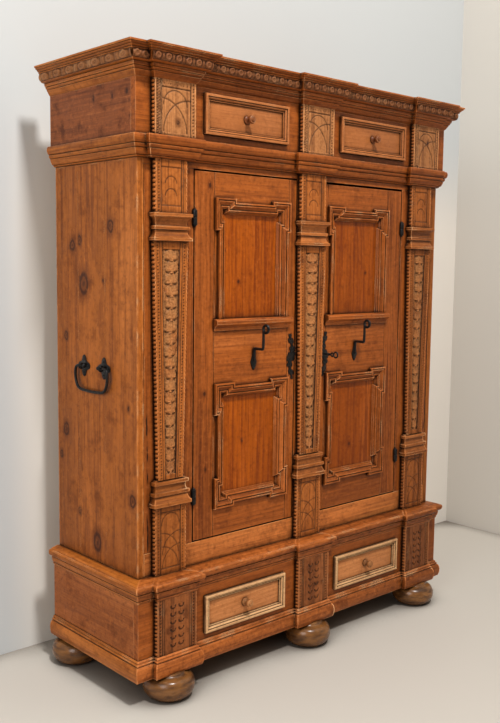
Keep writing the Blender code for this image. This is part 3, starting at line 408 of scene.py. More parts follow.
def pine(name, grain, light, dark, seed, pitch, trunk=(0.05, 0.02), lean=(0.03, 0.02), knots=(), flat=None,
         gloss=0.42, lines=0.6, stain=0.55, worn=0.5, carved=False, mottled=0.35, field=None, cut_dirt_and_shade=0.9,
         cracks=(), rub=0.0055, smudged=0.45, falloff_strength=1.0):
    """Pine with its grain along one axis. knots are (place, radius) pairs, and flat names the axis
    across the face they lie on."""
    material, tree = new_material(name)
    spread, mix, calc = (partial(helper, tree) for helper in (range_of, blend_of, math_of))
    place = object_place(tree)
    along, squeezed, rings = ring_pattern(tree, place, grain, seed, pitch, trunk, lean)
    thin = mapped(tree, along, Scale=(1, 1, 0.035))
    streak = noise_of(tree, thin, 70.0, 5.0, 0.65)
    fibre = noise_of(tree, thin, 330.0, 3.0)
    broad = noise_of(tree, squeezed, 4.5, 4.0)
    patch = noise_of(tree, along, 14.0, 7.0, 0.62)
    smudge = noise_of(tree, place, 62.0, 6.0, 0.72)
    pale = tuple(min(1.0, 1.35 * part + 0.06 * share) for part, share in zip(light, (1.6, 1.0, 0.5)))
    colour = stained(
        tree, light, (broad, 0.38, 0.66, stain, scaled(light, 0.55)), (broad, 0.44, 0.30, 0.45, pale),
        (streak, 0.46, 0.66, stain, dark), (streak, 0.42, 0.28, 0.5 * stain, pale),
        (patch, 0.52, 0.68, mottled, dark),
    )
    if field:
        chips = noise_of(tree, place, 130.0, 5.0, 0.7)
        chipped = stained(tree, field, (chips, 0.50, 0.68, 0.8, dark), (chips, 0.42, 0.30, 0.8, pale))
        chipped = stained(tree, chipped, (patch, 0.44, 0.66, 0.8, colour))
        colour = mix(mark(tree, "field"), colour, chipped)
    line = ring_lines(tree, rings, squeezed, lines)
    colour = mix(line, colour, dark)
    colour = stained(tree, colour, (fibre, 0.40, 0.75, 0.30, scaled(dark, 0.5)))
    if knots:
        bark, halo = knot_marks(tree, place, knots, flat, rings)
        colour = mix(calc("MULTIPLY", halo, 0.80), colour, scaled(dark, 0.8))
        colour = mix(calc("MULTIPLY", bark, 0.85), colour, knot_bark)
    colour = stained(tree, colour, (smudge, 0.50, 0.70, smudged, scaled(dark, 0.55)),
                     (smudge, 0.46, 0.30, 0.6 * smudged, pale))
    parts = axes_of(tree, place)
    # Painted shade: darker to the right and low down, as if less light reached there.
    painted_falloff = calc("ADD", spread(parts[0], -0.15, 0.70, 0.0, falloff_strength * darker_right),
               spread(parts[2], 1.30, 0.40, 0.0, falloff_strength * darker_low))
    colour = mix(painted_falloff, colour, scaled(dark, 0.3))
    soft = node(tree, "Bevel", {"Radius": rub}, samples=4).outputs[0]
    same = vector_of(tree, "DOT_PRODUCT", node(tree, "NewGeometry").outputs["Normal"], soft, out="Value")
    edges = calc("MULTIPLY", spread(same, 0.990, 0.88, 0.0, min(1.0, 1.25 * worn)),
                 spread(patch, 0.40, 0.60, 0.20, 1.0))
    crevice = openness(tree, 0.013)
    # Narrow hollows go near black: partly dust, partly painted shade.
    dust_and_shade = spread(crevice, 0.93, 0.48, 0.0, 0.95)
    # Broader recesses under ledges go dark brown: partly old dirt, partly painted shadow.
    grime_and_shade = calc("MULTIPLY", spread(openness(tree, 0.060), 0.86, 0.36, 0.0, 0.92),
                 spread(patch, 0.30, 0.60, 0.45, 1.0))
    if carved:
        # Carved cuts are darkened here, as dirt and as painted shade in the grooves.
        dust_and_shade = calc("MAXIMUM", dust_and_shade, calc("MULTIPLY", mark(tree, "cut"), cut_dirt_and_shade))
        edges = calc("MAXIMUM", edges, calc("MULTIPLY", mark(tree, "proud"), worn))
    rubbed = mix(spread(patch, 0.50, 0.64, 0.12 * worn, worn), pale, bare_wood)
    colour = mix(grime_and_shade, colour, dirt_and_shade_brown)
    colour = mix(calc("MULTIPLY", edges, spread(crevice, 0.55, 0.85)), colour, rubbed)
    colour = mix(dust_and_shade, colour, crevice_black)
    if cracks:
        colour = cracked(tree, colour, place, parts, patch, cracks)
    relief = calc("MULTIPLY_ADD", fibre, 0.45, calc("MULTIPLY", line, 0.55))
    relief = calc("MULTIPLY_ADD", patch, 0.9, relief)
    roughness = spread(patch, 0.3, 0.7, gloss - 0.06, gloss + 0.10)
    surface_of(tree, colour, roughness, relief, 0.45, 0.0009, wax_shine)
    return material


print("pine is ready")

# %% [markdown]
# The knots and cracks stand where the photograph shows them: large ones on the left side, small
# ones on the doors, and cracks in the stiles at the front corners.

# %% Where the knots are
side_knots = [((0, case_front + y, z), radius) for y, z, radius in (
    (0.146, 1.524, 0.012), (0.306, 1.340, 0.021), (0.376, 1.467, 0.012), (0.232, 0.475, 0.018),
    (0.424, 0.834, 0.013), (0.049, 0.951, 0.006), (0.457, 0.740, 0.007), (0.420, 1.160, 0.009),
    (0.330, 1.482, 0.009), (0.026, 0.655, 0.012), (0.190, 1.352, 0.005), (0.340, 0.560, 0.007),
)]
frieze_knots = [((0, y, z), radius) for y, z, radius in (
    (-0.085, 1.920, 0.0045), (0.020, 1.925, 0.0055), (-0.165, 1.925, 0.0055),
)]
door_knots, panel_knots, block_knots = ([((x, 0, z), radius) for x, z, radius in found] for found in (
    [(-0.482, 0.980, 0.0055), (-0.462, 1.664, 0.0055), (-0.475, 0.723, 0.0040), (0.250, 0.620, 0.0050),
     (0.205, 1.520, 0.0040), (-0.566, 1.130, 0.0040)],
    [(-0.322, 1.349, 0.0045), (-0.386, 1.456, 0.0030), (0.260, 0.717, 0.0055), (-0.300, 0.800, 0.0035),
     (0.330, 1.380, 0.0040)],
    [(-0.622, 1.842, 0.006), (0.640, 1.900, 0.005)],
))
corner_cracks = [(-0.7345, 1.05, 1.74), (-0.712, 0.46, 0.95), (-0.741, 1.25, 1.52), (0.720, 0.70, 1.30)]
print(len(side_knots) + len(door_knots) + len(panel_knots), "knots on side and doors")

# %% [markdown]
# Each board was cut from its own tree and has had its own life, so every kind of piece gets its
# own cut: the way its grain runs, a light and a dark tone, a seed, the width of its rings, and
# whatever else sets it apart. Two cuts are darker copies of others, as painted shade: the front of
# the cornice band and the frieze drawers.

# %% Cuts of pine
side_light, side_dark = (182, 102, 34), (108, 50, 14)
front_light, front_dark = (176, 92, 32), (92, 38, 8)
drawer_dark, carved_dark = (164, 92, 43), (84, 36, 10)
inner_light, inner_dark = (190, 146, 94), (144, 92, 48)
rough_carving = dict(carved=True, gloss=0.5, lines=0.3)
band_carving = dict(carved=True, gloss=0.55, lines=0.2, cut_dirt_and_shade=0.70)
knob_finish = dict(lines=0.4, stain=0.5, worn=0.6, gloss=0.34)
raw_board = dict(gloss=0.7, worn=0.1, stain=0.3)
cuts = {
    "side_left": ("z", (187, 104, 37), side_dark, 11, 0.016, dict(
        trunk=(0.03, 0.06), flat="x", knots=side_knots, lines=0.40, stain=0.60, mottled=0.50, rub=0.012,
        worn=0.75)),
    "side": ("z", side_light, side_dark, 12, 0.016, dict(trunk=(0.03, 0.09), lines=0.45, stain=0.45)),
    "stile": ("z", front_light, front_dark, 13, 0.014, dict(
        trunk=(0.10, 0.03), lines=0.5, worn=0.6, stain=0.62, flat="y", knots=door_knots,
        cracks=corner_cracks)),
    "rail": ("x", front_light, front_dark, 14, 0.014, dict(lines=0.3, stain=0.45)),
    "threshold": ("x", (230, 134, 64), front_dark, 32, 0.014, dict(
        lines=0.3, worn=0.8, stain=0.45, mottled=0.45)),
    "knob_pale": ("y", (176, 120, 72), drawer_dark, 33, 0.008, knob_finish),
    "knob_brown": ("y", (150, 84, 44), (84, 40, 18), 34, 0.008, knob_finish),
    "panel": ("z", (184, 88, 5), (112, 40, 0), 15, 0.017, dict(
        trunk=(0.0, 0.035), lean=(0.05, 0.0), lines=0.60, stain=0.66, mottled=0.42, gloss=0.36, flat="y",
        knots=panel_knots, smudged=0.4, falloff_strength=1.8)),
    "drawer": ("x", (226, 147, 87), drawer_dark, 16, 0.014, dict(
        trunk=(0.02, 0.05), lines=0.3, stain=0.30, mottled=0.20)),
    "drawer_edge": ("x", (232, 180, 128), drawer_dark, 26, 0.012, dict(
        lines=0.3, stain=0.25, mottled=0.25, worn=0.7)),
    # The frieze drawers are a darker copy of the drawer wood below: painted shade near the top of the case.
    "drawer_upper": ("x", (186, 112, 60), (146, 80, 36), 31, 0.012, dict(
        lines=0.3, stain=0.35, mottled=0.3, worn=0.6)),
    "carved": ("z", (186, 104, 42), carved_dark, 17, 0.012, dict(
        rough_carving, worn=0.65, mottled=0.55, field=paint((172, 116, 68)))),
    "carved_pale": ("z", (190, 124, 72), carved_dark, 28, 0.012, dict(
        rough_carving, worn=0.7, mottled=0.5, cut_dirt_and_shade=0.84, flat="y", knots=block_knots)),
    "carved_deep": ("z", (156, 88, 42), (70, 30, 10), 29, 0.012, dict(rough_carving, worn=0.6, mottled=0.6)),
    "ledge": ("x", (180, 102, 44), carved_dark, 25, 0.012, dict(worn=0.9, mottled=0.6, lines=0.3)),
    "moulding_x": ("x", front_light, front_dark, 18, 0.014, dict(
        worn=0.80, mottled=0.5, lines=0.35, rub=0.004)),
    # The base mouldings are lighter with broad pale edges: wear and painted highlight.
    "moulding_low": ("x", (190, 104, 44), front_dark, 35, 0.014, dict(
        worn=1.0, mottled=0.65, lines=0.35, rub=0.007, smudged=0.7)),
    "moulding_y": ("y", side_light, side_dark, 19, 0.014, dict(worn=0.65, mottled=0.45, lines=0.35)),
    "moulding_z": ("z", front_light, front_dark, 20, 0.014, dict(
        worn=0.78, mottled=0.45, lines=0.35, rub=0.0035)),
    "band": ("y", (150, 92, 50), (86, 46, 22), 21, 0.012, dict(band_carving, worn=0.45, mottled=0.5)),
    # The front of the band is a darker copy of the side band: painted shade under the cornice's top edge.
    "band_front": ("x", (128, 72, 36), (72, 34, 14), 30, 0.012, dict(band_carving, worn=0.40, mottled=0.6)),
    "frieze": ("y", (178, 96, 44), (96, 46, 20), 22, 0.016, dict(
        lines=0.3, mottled=0.9, stain=0.7, flat="x", knots=frieze_knots)),
    "base_side": ("y", (178, 98, 42), side_dark, 27, 0.016, dict(
        lines=0.18, stain=0.35, mottled=0.5, smudged=0.6)),
    "inner": ("x", inner_light, inner_dark, 23, 0.014, raw_board),
    "inner_tall": ("z", inner_light, inner_dark, 24, 0.014, raw_board),
}
woods = {}
for wood, (grain, light, dark, seed, pitch, more) in cuts.items():
    woods[wood] = pine(wood + "_pine", grain, paint(light), paint(dark), seed, pitch, **more)
print("pine in", len(woods), "cuts")

# %% [markdown]
# The feet are turned from a darker wood and polished, so they show a soft highlight. The iron was
# forged and blackened: a broken dark grey with faint brown where it has rusted, and small dents
# from the hammer.


# %% Foot wood and iron
def foot_polish():
    material, tree = new_material("foot_polish")
    flow = mapped(tree, object_place(tree), Scale=(1, 1, 3.5))
    turned = {"Vector": flow, "Scale": 20.0, "Detail": 6.0, "Distortion": 0.2}
    streak = node(tree, "TexNoise", turned).outputs[0]
    # The last wash is painted shade: the foot goes near black where the floor or the base stands close.
    colour = stained(tree, paint((126, 82, 42)), (streak, 0.35, 0.70, 1.0, paint((72, 42, 18))),
                     (openness(tree, 0.03), 0.7, 0.1, 0.7, paint((26, 16, 10))))
    surface_of(tree, colour, range_of(tree, streak, 0.3, 0.7, 0.20, 0.34), streak, 0.15, 0.001, 0.4)
    return material


def forged_iron():
    material, tree = new_material("forged_iron")
    place = object_place(tree)
    dents, rust = noise_of(tree, place, 160.0, 4.0), noise_of(tree, place, 60.0, 5.0)
    colour = stained(tree, paint((17, 15, 14)), (rust, 0.52, 0.72, 0.7, paint((42, 28, 20))))
    surface_of(tree, colour, range_of(tree, dents, 0.3, 0.7, 0.34, 0.52), dents, 0.5, 0.0008, 0.25)
    return material


woods["foot"] = foot_polish()
iron = forged_iron()
print("foot polish and forged iron")

# %% [markdown]
# Every solid that stays in view gets its finish through its material slots. Shelves, linings and
# drawer boxes are raw pine, panels are golden, and locks are iron.

# %% Dress the solids that stay
finishes = (
    ("lock_", iron), ("key", iron), ("door_upper_panel", woods["panel"]),
    ("door_lower_panel", woods["panel"]), ("threshold_rail", woods["threshold"]),
    ("head_rail", woods["rail"]), ("centre_post", woods["stile"]), ("frieze_side", woods["frieze"]),
    ("base_side", woods["base_side"]), ("case_back", woods["inner_tall"]),
    ("base_back", woods["inner_tall"]), ("frieze_back", woods["inner_tall"]), ("", woods["inner"]),
)
for name, solid in nodes.items():
    finish = next(material for start, material in finishes if name.startswith(start))
    for slot in solid.material_slots:
        slot.material = finish
    if not solid.material_slots:
        solid.data.materials.append(finish)
print("finished", len(nodes), "solids")

# %% [markdown]
# Each new piece ends the same way: its mesh is cleaned, smoothed where it is round, given its
# wood and hung on its body, and the solids it stands for are hidden. One helper does all of that, so no
# piece can miss a step.


# %% Finishing a piece
def piece_from(bm, name, material, body="carcass", stands_for=(), smooth=35, record_slot=None):
    bmesh.ops.remove_doubles(bm, verts=bm.verts, dist=1e-6)
    bmesh.ops.recalc_face_normals(bm, faces=bm.faces)
    mesh = bpy.data.meshes.new(name)
    bm.to_mesh(mesh)
    bm.free()
    if smooth:
        mesh.shade_smooth()
        mesh.set_sharp_from_angle(angle=math.radians(smooth))
    made = bpy.data.objects.new(name, mesh)
    bpy.context.scene.collection.objects.link(made)
    made.data.materials.append(material)
    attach(made, body)
    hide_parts(*stands_for)
    record_slot or ("wrought_iron" if material is iron else "front_pine")
    return made


def corners_in(items):
    return [item for item in items if isinstance(item, bmesh.types.BMVert)]


def add_box(bm, a, b, ease=0.0008):
    """A board between two opposite corners, with its edges eased as a plane leaves them."""
    low = Vector([min(pair) for pair in zip(a, b)])
    high = Vector([max(pair) for pair in zip(a, b)])
    fresh = bmesh.ops.create_cube(
        bm, size=1, matrix=Matrix.Translation((low + high) / 2) @ Matrix.Diagonal((*(high - low), 1))
    )["verts"]
    edges = list({edge for corner in fresh for edge in corner.link_edges})
    bmesh.ops.bevel(
        bm, geom=edges, offset=ease, offset_type="OFFSET", affect="EDGES", segments=2,
        profile=0.5, material=-1, clamp_overlap=True,
    )


def add_ball(bm, place, across, up, radius):
    bmesh.ops.create_uvsphere(bm, u_segments=across, v_segments=up, radius=radius,
                              matrix=Matrix.Translation(place))


print("helpers for pieces")

# %% [markdown]
# Mouldings are cut with shaped planes, in straight lengths that meet in mitres. The profile is
# drawn as a few points and rounded between them, a face with that outline is made at one mitre,
# and extruding it to the next mitre gives one length. Each length is its own closed piece, as in
# the workshop, so the grain can turn with it.


# %% Moulding helpers
def rounded(points, steps=4, sharp=50):
    """Points joined by smooth curves, except where the line turns sharply."""
    spots = [Vector(point) for point in points]
    tangents = []
    for i, spot in enumerate(spots):
        before = spots[i] - spots[i - 1] if i else None
        after = spots[i + 1] - spots[i] if i + 1 < len(spots) else None
        if before is None or after is None:
            tangents.append((after or before, after or before))
        elif before.length < 1e-9 or after.length < 1e-9 or before.angle(after) > math.radians(sharp):
            tangents.append((before, after))
        else:
            shared = (before.normalized() + after.normalized()).normalized()
            tangents.append((shared * before.length, shared * after.length))
    line = [spots[0]]
    for start, end, (_, out), (into, _) in zip(spots, spots[1:], tangents, tangents[1:]):
        for k in range(1, steps + 1):
            t = k / steps
            line.append((2 * t**3 - 3 * t**2 + 1) * start + (t**3 - 2 * t**2 + t) * out
                        + (3 * t**2 - 2 * t**3) * end + (t**3 - t**2) * into)
    return line


def sized(shares, wide, tall, *rounding):
    """A rounded outline drawn in shares, brought to its size."""
    return [(wide * across, tall * up) for across, up in rounded(shares, *rounding)]


def mitres_of(path, closed):
    """How far each corner of a path moves when the whole path moves out by one."""
    found = []
    for i in range(len(path)):
        turns = []
        for a, b in ((i - 1, i), (i, i + 1)):
            if closed or (a >= 0 and b < len(path)):
                run = (Vector(path[b % len(path)]) - Vector(path[a % len(path)])).normalized()
                turns.append(Vector((run.y, -run.x)))
        found.append((turns[0] + turns[-1]) / (1 + turns[0].dot(turns[-1])))
    return found


def plan(x, y, z):
    return (x, y, z)


def add_lengths(bm, path, profile, place=plan, closed=False, wanted=None):
    """Mitred lengths of one profile along a path. wanted says which lengths to make."""
    corners = mitres_of(path, closed)
    for i in range(len(path) if closed else len(path) - 1):
        if wanted and not wanted(i):
            continue
        ends = [[place(path[k][0] + corners[k].x * out, path[k][1] + corners[k].y * out, up)
                 for out, up in profile] for k in (i, (i + 1) % len(path))]
        start = bm.faces.new([bm.verts.new(spot) for spot in ends[0]])
        order = {corner: at for at, corner in enumerate(start.verts)}
        grown = bmesh.ops.extrude_face_region(bm, geom=[start], use_keep_orig=True)["geom"]
        for corner in corners_in(grown):
            near = min(order, key=lambda old: (old.co - corner.co).length_squared)
            corner.co = ends[1][order.pop(near)]


def round_path(side_reach, forward_reach, half=block_half):
    """The plan line round a stage of the cupboard, from its left back corner to its right."""
    end, front = case_half + side_reach, case_front - forward_reach
    path = [(-end, case_back), (-end, front)]
    for centre in block_centres:
        path += [(centre - half, front), (centre - half, front - break_forward),
                 (centre + half, front - break_forward), (centre + half, front)]
    return path + [(end, front), (end, case_back)]


def moulded_round(name, path, shares, reach, height, base, depth, front_wood="moulding_x"):
    """A moulding round three sides of the cupboard, in three pieces."""
    profile = [(out, base + up) for out, up in sized(shares, reach, height, 3, 42)]
    profile += [(-depth, base + height * shares[-1][1]), (-depth, base + height * shares[0][1])]
    last = len(path) - 2
    for part, wood, wanted in (
        ("left", "moulding_y", lambda i: i == 0),
        ("front", front_wood, lambda i: 0 < i < last),
        ("right", "moulding_y", lambda i: i == last),
    ):
        bm = bmesh.new()
        add_lengths(bm, path, profile, wanted=wanted)
        piece_from(bm, name + "_" + part, woods[wood], stands_for=[name + "_moulding"],
                   record_slot="moulding_pine")
    print(name, "with", len(profile), "points in its profile")


# %% [markdown]
# The crown is the widest stage. Its cornice steps out over a hollow and a carved band to a thin
# top edge, and it breaks forward over the three carved blocks. The architrave under the drawers
# repeats the same breaks with a rounder profile.

# %% Cornice and architrave
frieze_reach, frieze_bottom, frieze_top = 0.018, 1.7970, 1.9647
cornice_reach, cornice_height, cornice_bearing = 0.0585, 0.091, 0.010
architrave_reach, architrave_height, moulding_depth = 0.033, 0.067, 0.060
moulded_round("cornice", round_path(frieze_reach, frieze_reach), [
    (0.00, 0.00), (0.08, 0.05), (0.15, 0.13), (0.22, 0.19), (0.19, 0.20), (0.22, 0.22), (0.28, 0.25),
    (0.30, 0.29), (0.27, 0.30), (0.34, 0.32), (0.38, 0.41), (0.34, 0.42), (0.52, 0.44), (0.58, 0.46),
    (0.60, 0.49), (0.67, 0.74), (0.72, 0.75), (0.75, 0.78), (0.72, 0.79), (0.80, 0.82), (0.84, 0.85),
    (0.82, 0.86), (0.90, 0.88), (0.95, 0.92), (0.92, 0.93), (1.00, 0.94), (1.00, 1.00),
], cornice_reach, cornice_height, frieze_top, cornice_bearing)
moulded_round("architrave", round_path(0, 0), [
    (0.00, 0.00), (0.20, 0.03), (0.28, 0.07), (0.24, 0.09), (0.40, 0.12), (0.54, 0.24), (0.62, 0.38),
    (0.57, 0.40), (0.70, 0.43), (0.77, 0.50), (0.77, 0.57), (0.71, 0.59), (0.84, 0.62), (0.95, 0.70),
    (1.00, 0.82), (0.97, 0.93), (0.88, 1.00),
], architrave_reach, architrave_height, case_top + fit_gap, moulding_depth)

# %% [markdown]
# The base has two mouldings: a thick rounded one just above the feet, and a stepped one that
# carries the case. Both are painted lighter than the front, with broad pale edges: partly wear, partly
# painted highlight on their ledges. A plain bar ties each frame together along the back.

# %% Base mouldings
base_bottom, base_top = 0.087, 0.3385
base_side_reach, base_front_reach = 0.0225, 0.034
foot_moulding_reach, foot_moulding_height = 0.019, 0.0665
base_moulding_reach, base_moulding_height, tie_depth = 0.0215, 0.0682, 0.015
foot_path = round_path(base_side_reach + fit_gap, base_front_reach + fit_gap, block_half + fit_gap)
moulded_round("base_foot", foot_path, [
    (0.75, 0.00), (0.92, 0.14), (1.00, 0.30), (1.00, 0.48), (0.86, 0.64), (0.66, 0.73),
    (0.46, 0.75), (0.54, 0.79), (0.54, 0.84), (0.30, 0.87), (0.30, 0.94), (0.10, 1.00),
], foot_moulding_reach, foot_moulding_height, base_bottom, 0, "moulding_low")
moulded_round("base_top", round_path(base_side_reach, base_front_reach), [
    (0.00, 0.00), (0.14, 0.06), (0.20, 0.12), (0.12, 0.14), (0.28, 0.20), (0.40, 0.34), (0.44, 0.46),
    (0.34, 0.48), (0.66, 0.53), (0.92, 0.62), (1.00, 0.73), (0.95, 0.83), (0.80, 0.87), (0.66, 0.86),
    (0.52, 0.90), (0.10, 0.95), (-0.60, 1.00),
], base_moulding_reach, base_moulding_height, base_top, moulding_depth, "moulding_low")
bm = bmesh.new()
for half, low, high in (
    (case_half + base_side_reach - moulding_depth, base_top, base_top + base_moulding_height),
    (case_half - moulding_depth, case_top + fit_gap, frieze_bottom),
):
    add_box(bm, (-half, case_back - tie_depth, low), (half, case_back, high))
piece_from(bm, "back_ties", woods["inner"], stands_for=["base_top_moulding", "architrave_moulding"])
print("base mouldings and back ties")

# %% [markdown]
# Carving is a surface that goes up and down, so a fine grid is the right stuff for it. The grid
# is stood up on the face of the block, and a small function says how deep the chisel went at
# each spot. It also says how strongly a cut is darkened, as dirt and painted shade, and how much
# a high spot has worn, and the finish reads both. The rim of the grid is then drawn back to close
# the block.

# %% Carving helper
carving_cell, tool_ripple, field_ripple, worn_rim = 0.0021, 0.0005, 0.0022, 0.002


def carved_face(name, centre, half_of, low, high, front, back, chisel, stands_for, columns=64, wood="carved"):
    """A carved block. chisel(across, up, half, tall) gives (height, cut, proud, field)."""
    tall = high - low
    bm = bmesh.new()
    marks = [bm.verts.layers.float.new(key) for key in ("cut", "proud", "field")]
    bmesh.ops.create_grid(bm, x_segments=columns, y_segments=int(tall / carving_cell), size=1)
    spread = max(corner.co.x for corner in bm.verts)
    for corner in bm.verts:
        up = tall * (corner.co.y / spread + 1) / 2
        half = half_of(up / tall)
        across = half * corner.co.x / spread
        rise, *shown = chisel(across, up, half, tall)
        wobble = noise.noise(Vector((across, up, centre)) * 90) * tool_ripple
        wobble += shown[-1] * noise.noise(Vector((across, up, centre + 5)) * 210) * field_ripple
        corner.co = (centre + across, front - rise - wobble, low + up)
        for layer, value in zip(marks, shown):
            corner[layer] = max(0.0, min(1.0, value))
    rim = [edge for edge in bm.edges if edge.is_boundary]
    for corner in corners_in(bmesh.ops.extrude_edge_only(bm, edges=rim)["geom"]):
        corner.co.y = back
    bmesh.ops.holes_fill(bm, edges=[edge for edge in bm.edges if edge.is_boundary], sides=0)
    piece_from(bm, name, woods[wood], stands_for=stands_for, smooth=50, record_slot="carved_pine")


def dip(away, width):
    """1 in the middle of a cut, falling to 0 at its edge."""
    share = abs(away) / width
    return max(0.0, 1 - share * share)


def uneven(spot, seed, reach):
    """How far the carver's hand strayed at one spot."""
    return reach * noise.noise(Vector((spot * 31, seed, 0.5)))


def dots(away, up, pitch, radius):
    """A row of punched dots, none of them quite in line."""
    cell = math.floor(up / pitch)
    step = (up % pitch) - pitch / 2 + uneven(cell, 3, pitch * 0.3)
    return min(1.0, 1.4 * dip(math.hypot(away + uneven(cell, 7, radius * 0.7), step), radius * 1.25))


def arc(across, up, radius, width):
    return dip(math.hypot(across, up) - radius, width)


def crossed_arcs(across, up, base, reach, width):
    """Two compass strokes that cross, each struck from the opposite lower corner."""
    return max(arc(across + sign * reach, up - base, 1.80 * reach, width) * (up > base) for sign in (-1, 1))


print("helpers for carving")

# %% [markdown]
# The pilasters are carved in three fields. The neck above the capital has a plain band top and
# bottom, the shaft carries a chain of tongues cut with two gouges each, and the pedestal has an
# arch over crossed strokes. A strip of punched dots and a groove run down beside every field.

# %% Chisel work of the pilasters
strip, groove_at, dot_pitch = 0.0125, 0.0215, 0.0095
neck_foot, neck_head, pedestal_margin = 0.022, 0.024, 0.020
shaft_foot, shaft_head, shaft_sunk, tongue_pitch = 0.016, 0.027, 0.0042, 0.0375


def neck_chisel(across, up, half, tall):
    edge, left = half - abs(across), across < 0
    inside = edge > groove_at
    cut = dots(edge - strip, up, dot_pitch, 0.0026) if left else 0.0
    lines = max(dip(edge - groove_at, 0.0024), 0.0 if left else dip(edge - 0.013, 0.0020))
    if inside:
        lines = max(lines, dip(up - neck_foot, 0.0022), dip(up - tall + neck_head, 0.0020))
    arcs = 0.0
    if inside and 0.03 < up < tall - 0.03:
        arcs = max(arc(across, up - middle, 0.022, 0.0023) * (up > middle) for middle in (0.052, 0.090))
    sunk = 0.0015 if inside and neck_foot < up < tall - neck_head else 0.0
    deep = sunk + 0.0016 * lines + 0.0016 * arcs + 0.0018 * cut
    return -deep, max(lines, 0.9 * cut, 0.85 * arcs), edge < worn_rim, 0.0


def tongue_work(lean, step, tongue):
    """Height, gouge and wear of the chain of tongues, at a spot given in shares of one tongue."""
    rise, gouge, proud = 0.0, 0.0, 0.0
    width = 0.86 * math.sin(math.pi * min(1.0, 0.10 + 0.86 * step)) ** 0.6
    if abs(lean) < width:
        crown = 1 - (lean / width) ** 2
        rise = 0.0052 * crown**0.6 * (1.05 - 0.55 * step)
        proud = 0.5 * crown * (1 - step)
    for side in (-1, 1):
        wide = 0.36 + uneven(tongue + 0.3 * side, 11, 0.14)
        aside = (lean - 0.40 * side) * 0.9
        for bend in (0.06, 1.06):
            gouge = max(gouge, dip(math.hypot(aside, (step - bend) * 3.0 - 0.5 * abs(aside)), wide))
        gouge = max(gouge, 0.35 * dip(math.hypot((lean - 0.80 * side) * 1.6, (step - 0.55) * 1.5), 0.34))
    return rise - 0.0030 * gouge, gouge, proud


def shaft_chisel(across, up, half, tall):
    edge = half - abs(across)
    rim = 0.029 + 0.002 * up / tall
    cut = dots(edge - strip, up, dot_pitch, 0.0026)
    lines = max(dip(edge - 0.0205, 0.0020), dip(edge - rim, 0.0026),
                dip(up - tall + 0.026, 0.0013) if edge > rim else 0.0)
    in_field = edge > rim and shaft_foot < up < tall - shaft_head
    rise, gouge, proud = 0.0, 0.0, 0.0
    if in_field:
        stray = uneven(up * 0.9, half * 40, 0.20)
        step = ((up - 0.020 + stray * 0.012) % tongue_pitch) / tongue_pitch
        tongue = math.floor((up - 0.020) / tongue_pitch)
        rise, gouge, proud = tongue_work(across / (half - rim) + stray, step, tongue)
        rise -= shaft_sunk
    rise -= 0.0016 * lines + 0.0018 * cut
    return rise, max(lines, 0.9 * cut, 0.75 * gouge), max(proud, edge < worn_rim), in_field


def pedestal_chisel(across, up, half, tall):
    edge = half - abs(across)
    inside = edge > groove_at
    field = inside and pedestal_margin < up < tall - pedestal_margin
    cut = dots(edge - strip, up, dot_pitch, 0.0024)
    lines = dip(edge - groove_at, 0.0026)
    if inside:
        lines = max(lines, dip(up - pedestal_margin, 0.0022), dip(up - tall + pedestal_margin, 0.0022))
    line = 0.0
    if field:
        reach = half - groove_at
        spring = tall - pedestal_margin - reach
        line = max(crossed_arcs(across, up, base, reach, 0.0023) for base in (0.022, 0.066))
        if up > spring - 0.004:
            line = max(line, arc(across, up - spring, reach * 0.88, 0.0024))
    deep = 0.0016 * lines + 0.0015 * line + 0.0016 * cut + 0.0012 * field
    return -deep, max(lines, 0.8 * cut, 0.8 * line), edge < worn_rim, 0.0


print("three chisels for the pilasters")

# %% [markdown]
# Between the fields sit two stacks of thin ledges, the capital and the plinth, which run round
# the front and both sides of the pilaster. The scalloped beads on its side edges are rows of
# small flattened balls, kept to a few faces each because there are hundreds.

# %% Pilasters
pilaster_half, pilaster_proud = 0.061, 0.018
pilaster_front = case_front - pilaster_proud
pilaster_back = case_front - fit_gap
plinth_low, plinth_high, capital_low, capital_high = 0.633, 0.720, 1.478, 1.566
shaft_top_half, shaft_bottom_half = 0.066, 0.049
ledge_reach, ledge_bearing, bead_clear, bead_y = 0.014, 0.015, 0.004, case_front - 0.0105
capital_shares = [
    (0.30, 0.00), (1.00, 0.02), (1.00, 0.11), (0.78, 0.13), (0.40, 0.20), (0.12, 0.30), (0.08, 0.40),
    (0.50, 0.41), (0.58, 0.47), (0.50, 0.53), (0.06, 0.54), (0.00, 0.64), (0.10, 0.74), (0.45, 0.81),
    (0.76, 0.84), (0.80, 0.86), (1.00, 0.87), (1.00, 0.98), (0.00, 1.00),
]
plinth_shares = [
    (0.00, 0.00), (1.00, 0.02), (1.00, 0.15), (0.76, 0.17), (0.48, 0.25), (0.26, 0.35), (0.22, 0.41),
    (0.60, 0.42), (0.68, 0.48), (0.60, 0.55), (0.14, 0.56), (-0.04, 0.66), (-0.04, 0.76), (0.08, 0.81),
    (0.44, 0.82), (0.50, 0.88), (0.44, 0.95), (-0.20, 0.97), (-0.30, 1.00),
]
pilaster_fields = (
    ("neck", neck_chisel, capital_high, case_top, pilaster_half, pilaster_half),
    ("shaft", shaft_chisel, plinth_high, capital_low, shaft_bottom_half, shaft_top_half),
    ("pedestal", pedestal_chisel, case_bottom, plinth_low, pilaster_half, pilaster_half),
)


def between(first, last):
    return lambda share: first + (last - first) * share


def add_bead_row(bm, start, end, wide, deep, pitch):
    """Flattened balls from start to end."""
    start, end = Vector(start), Vector(end)
    count = max(1, round((end - start).length / pitch))
    squash = Matrix.Diagonal((wide, deep, 0.47 * pitch, 1))
    for k in range(count):
        spot = Matrix.Translation(start.lerp(end, (k + 0.5) / count))
        bmesh.ops.create_uvsphere(bm, u_segments=8, v_segments=5, radius=1, matrix=spot @ squash)


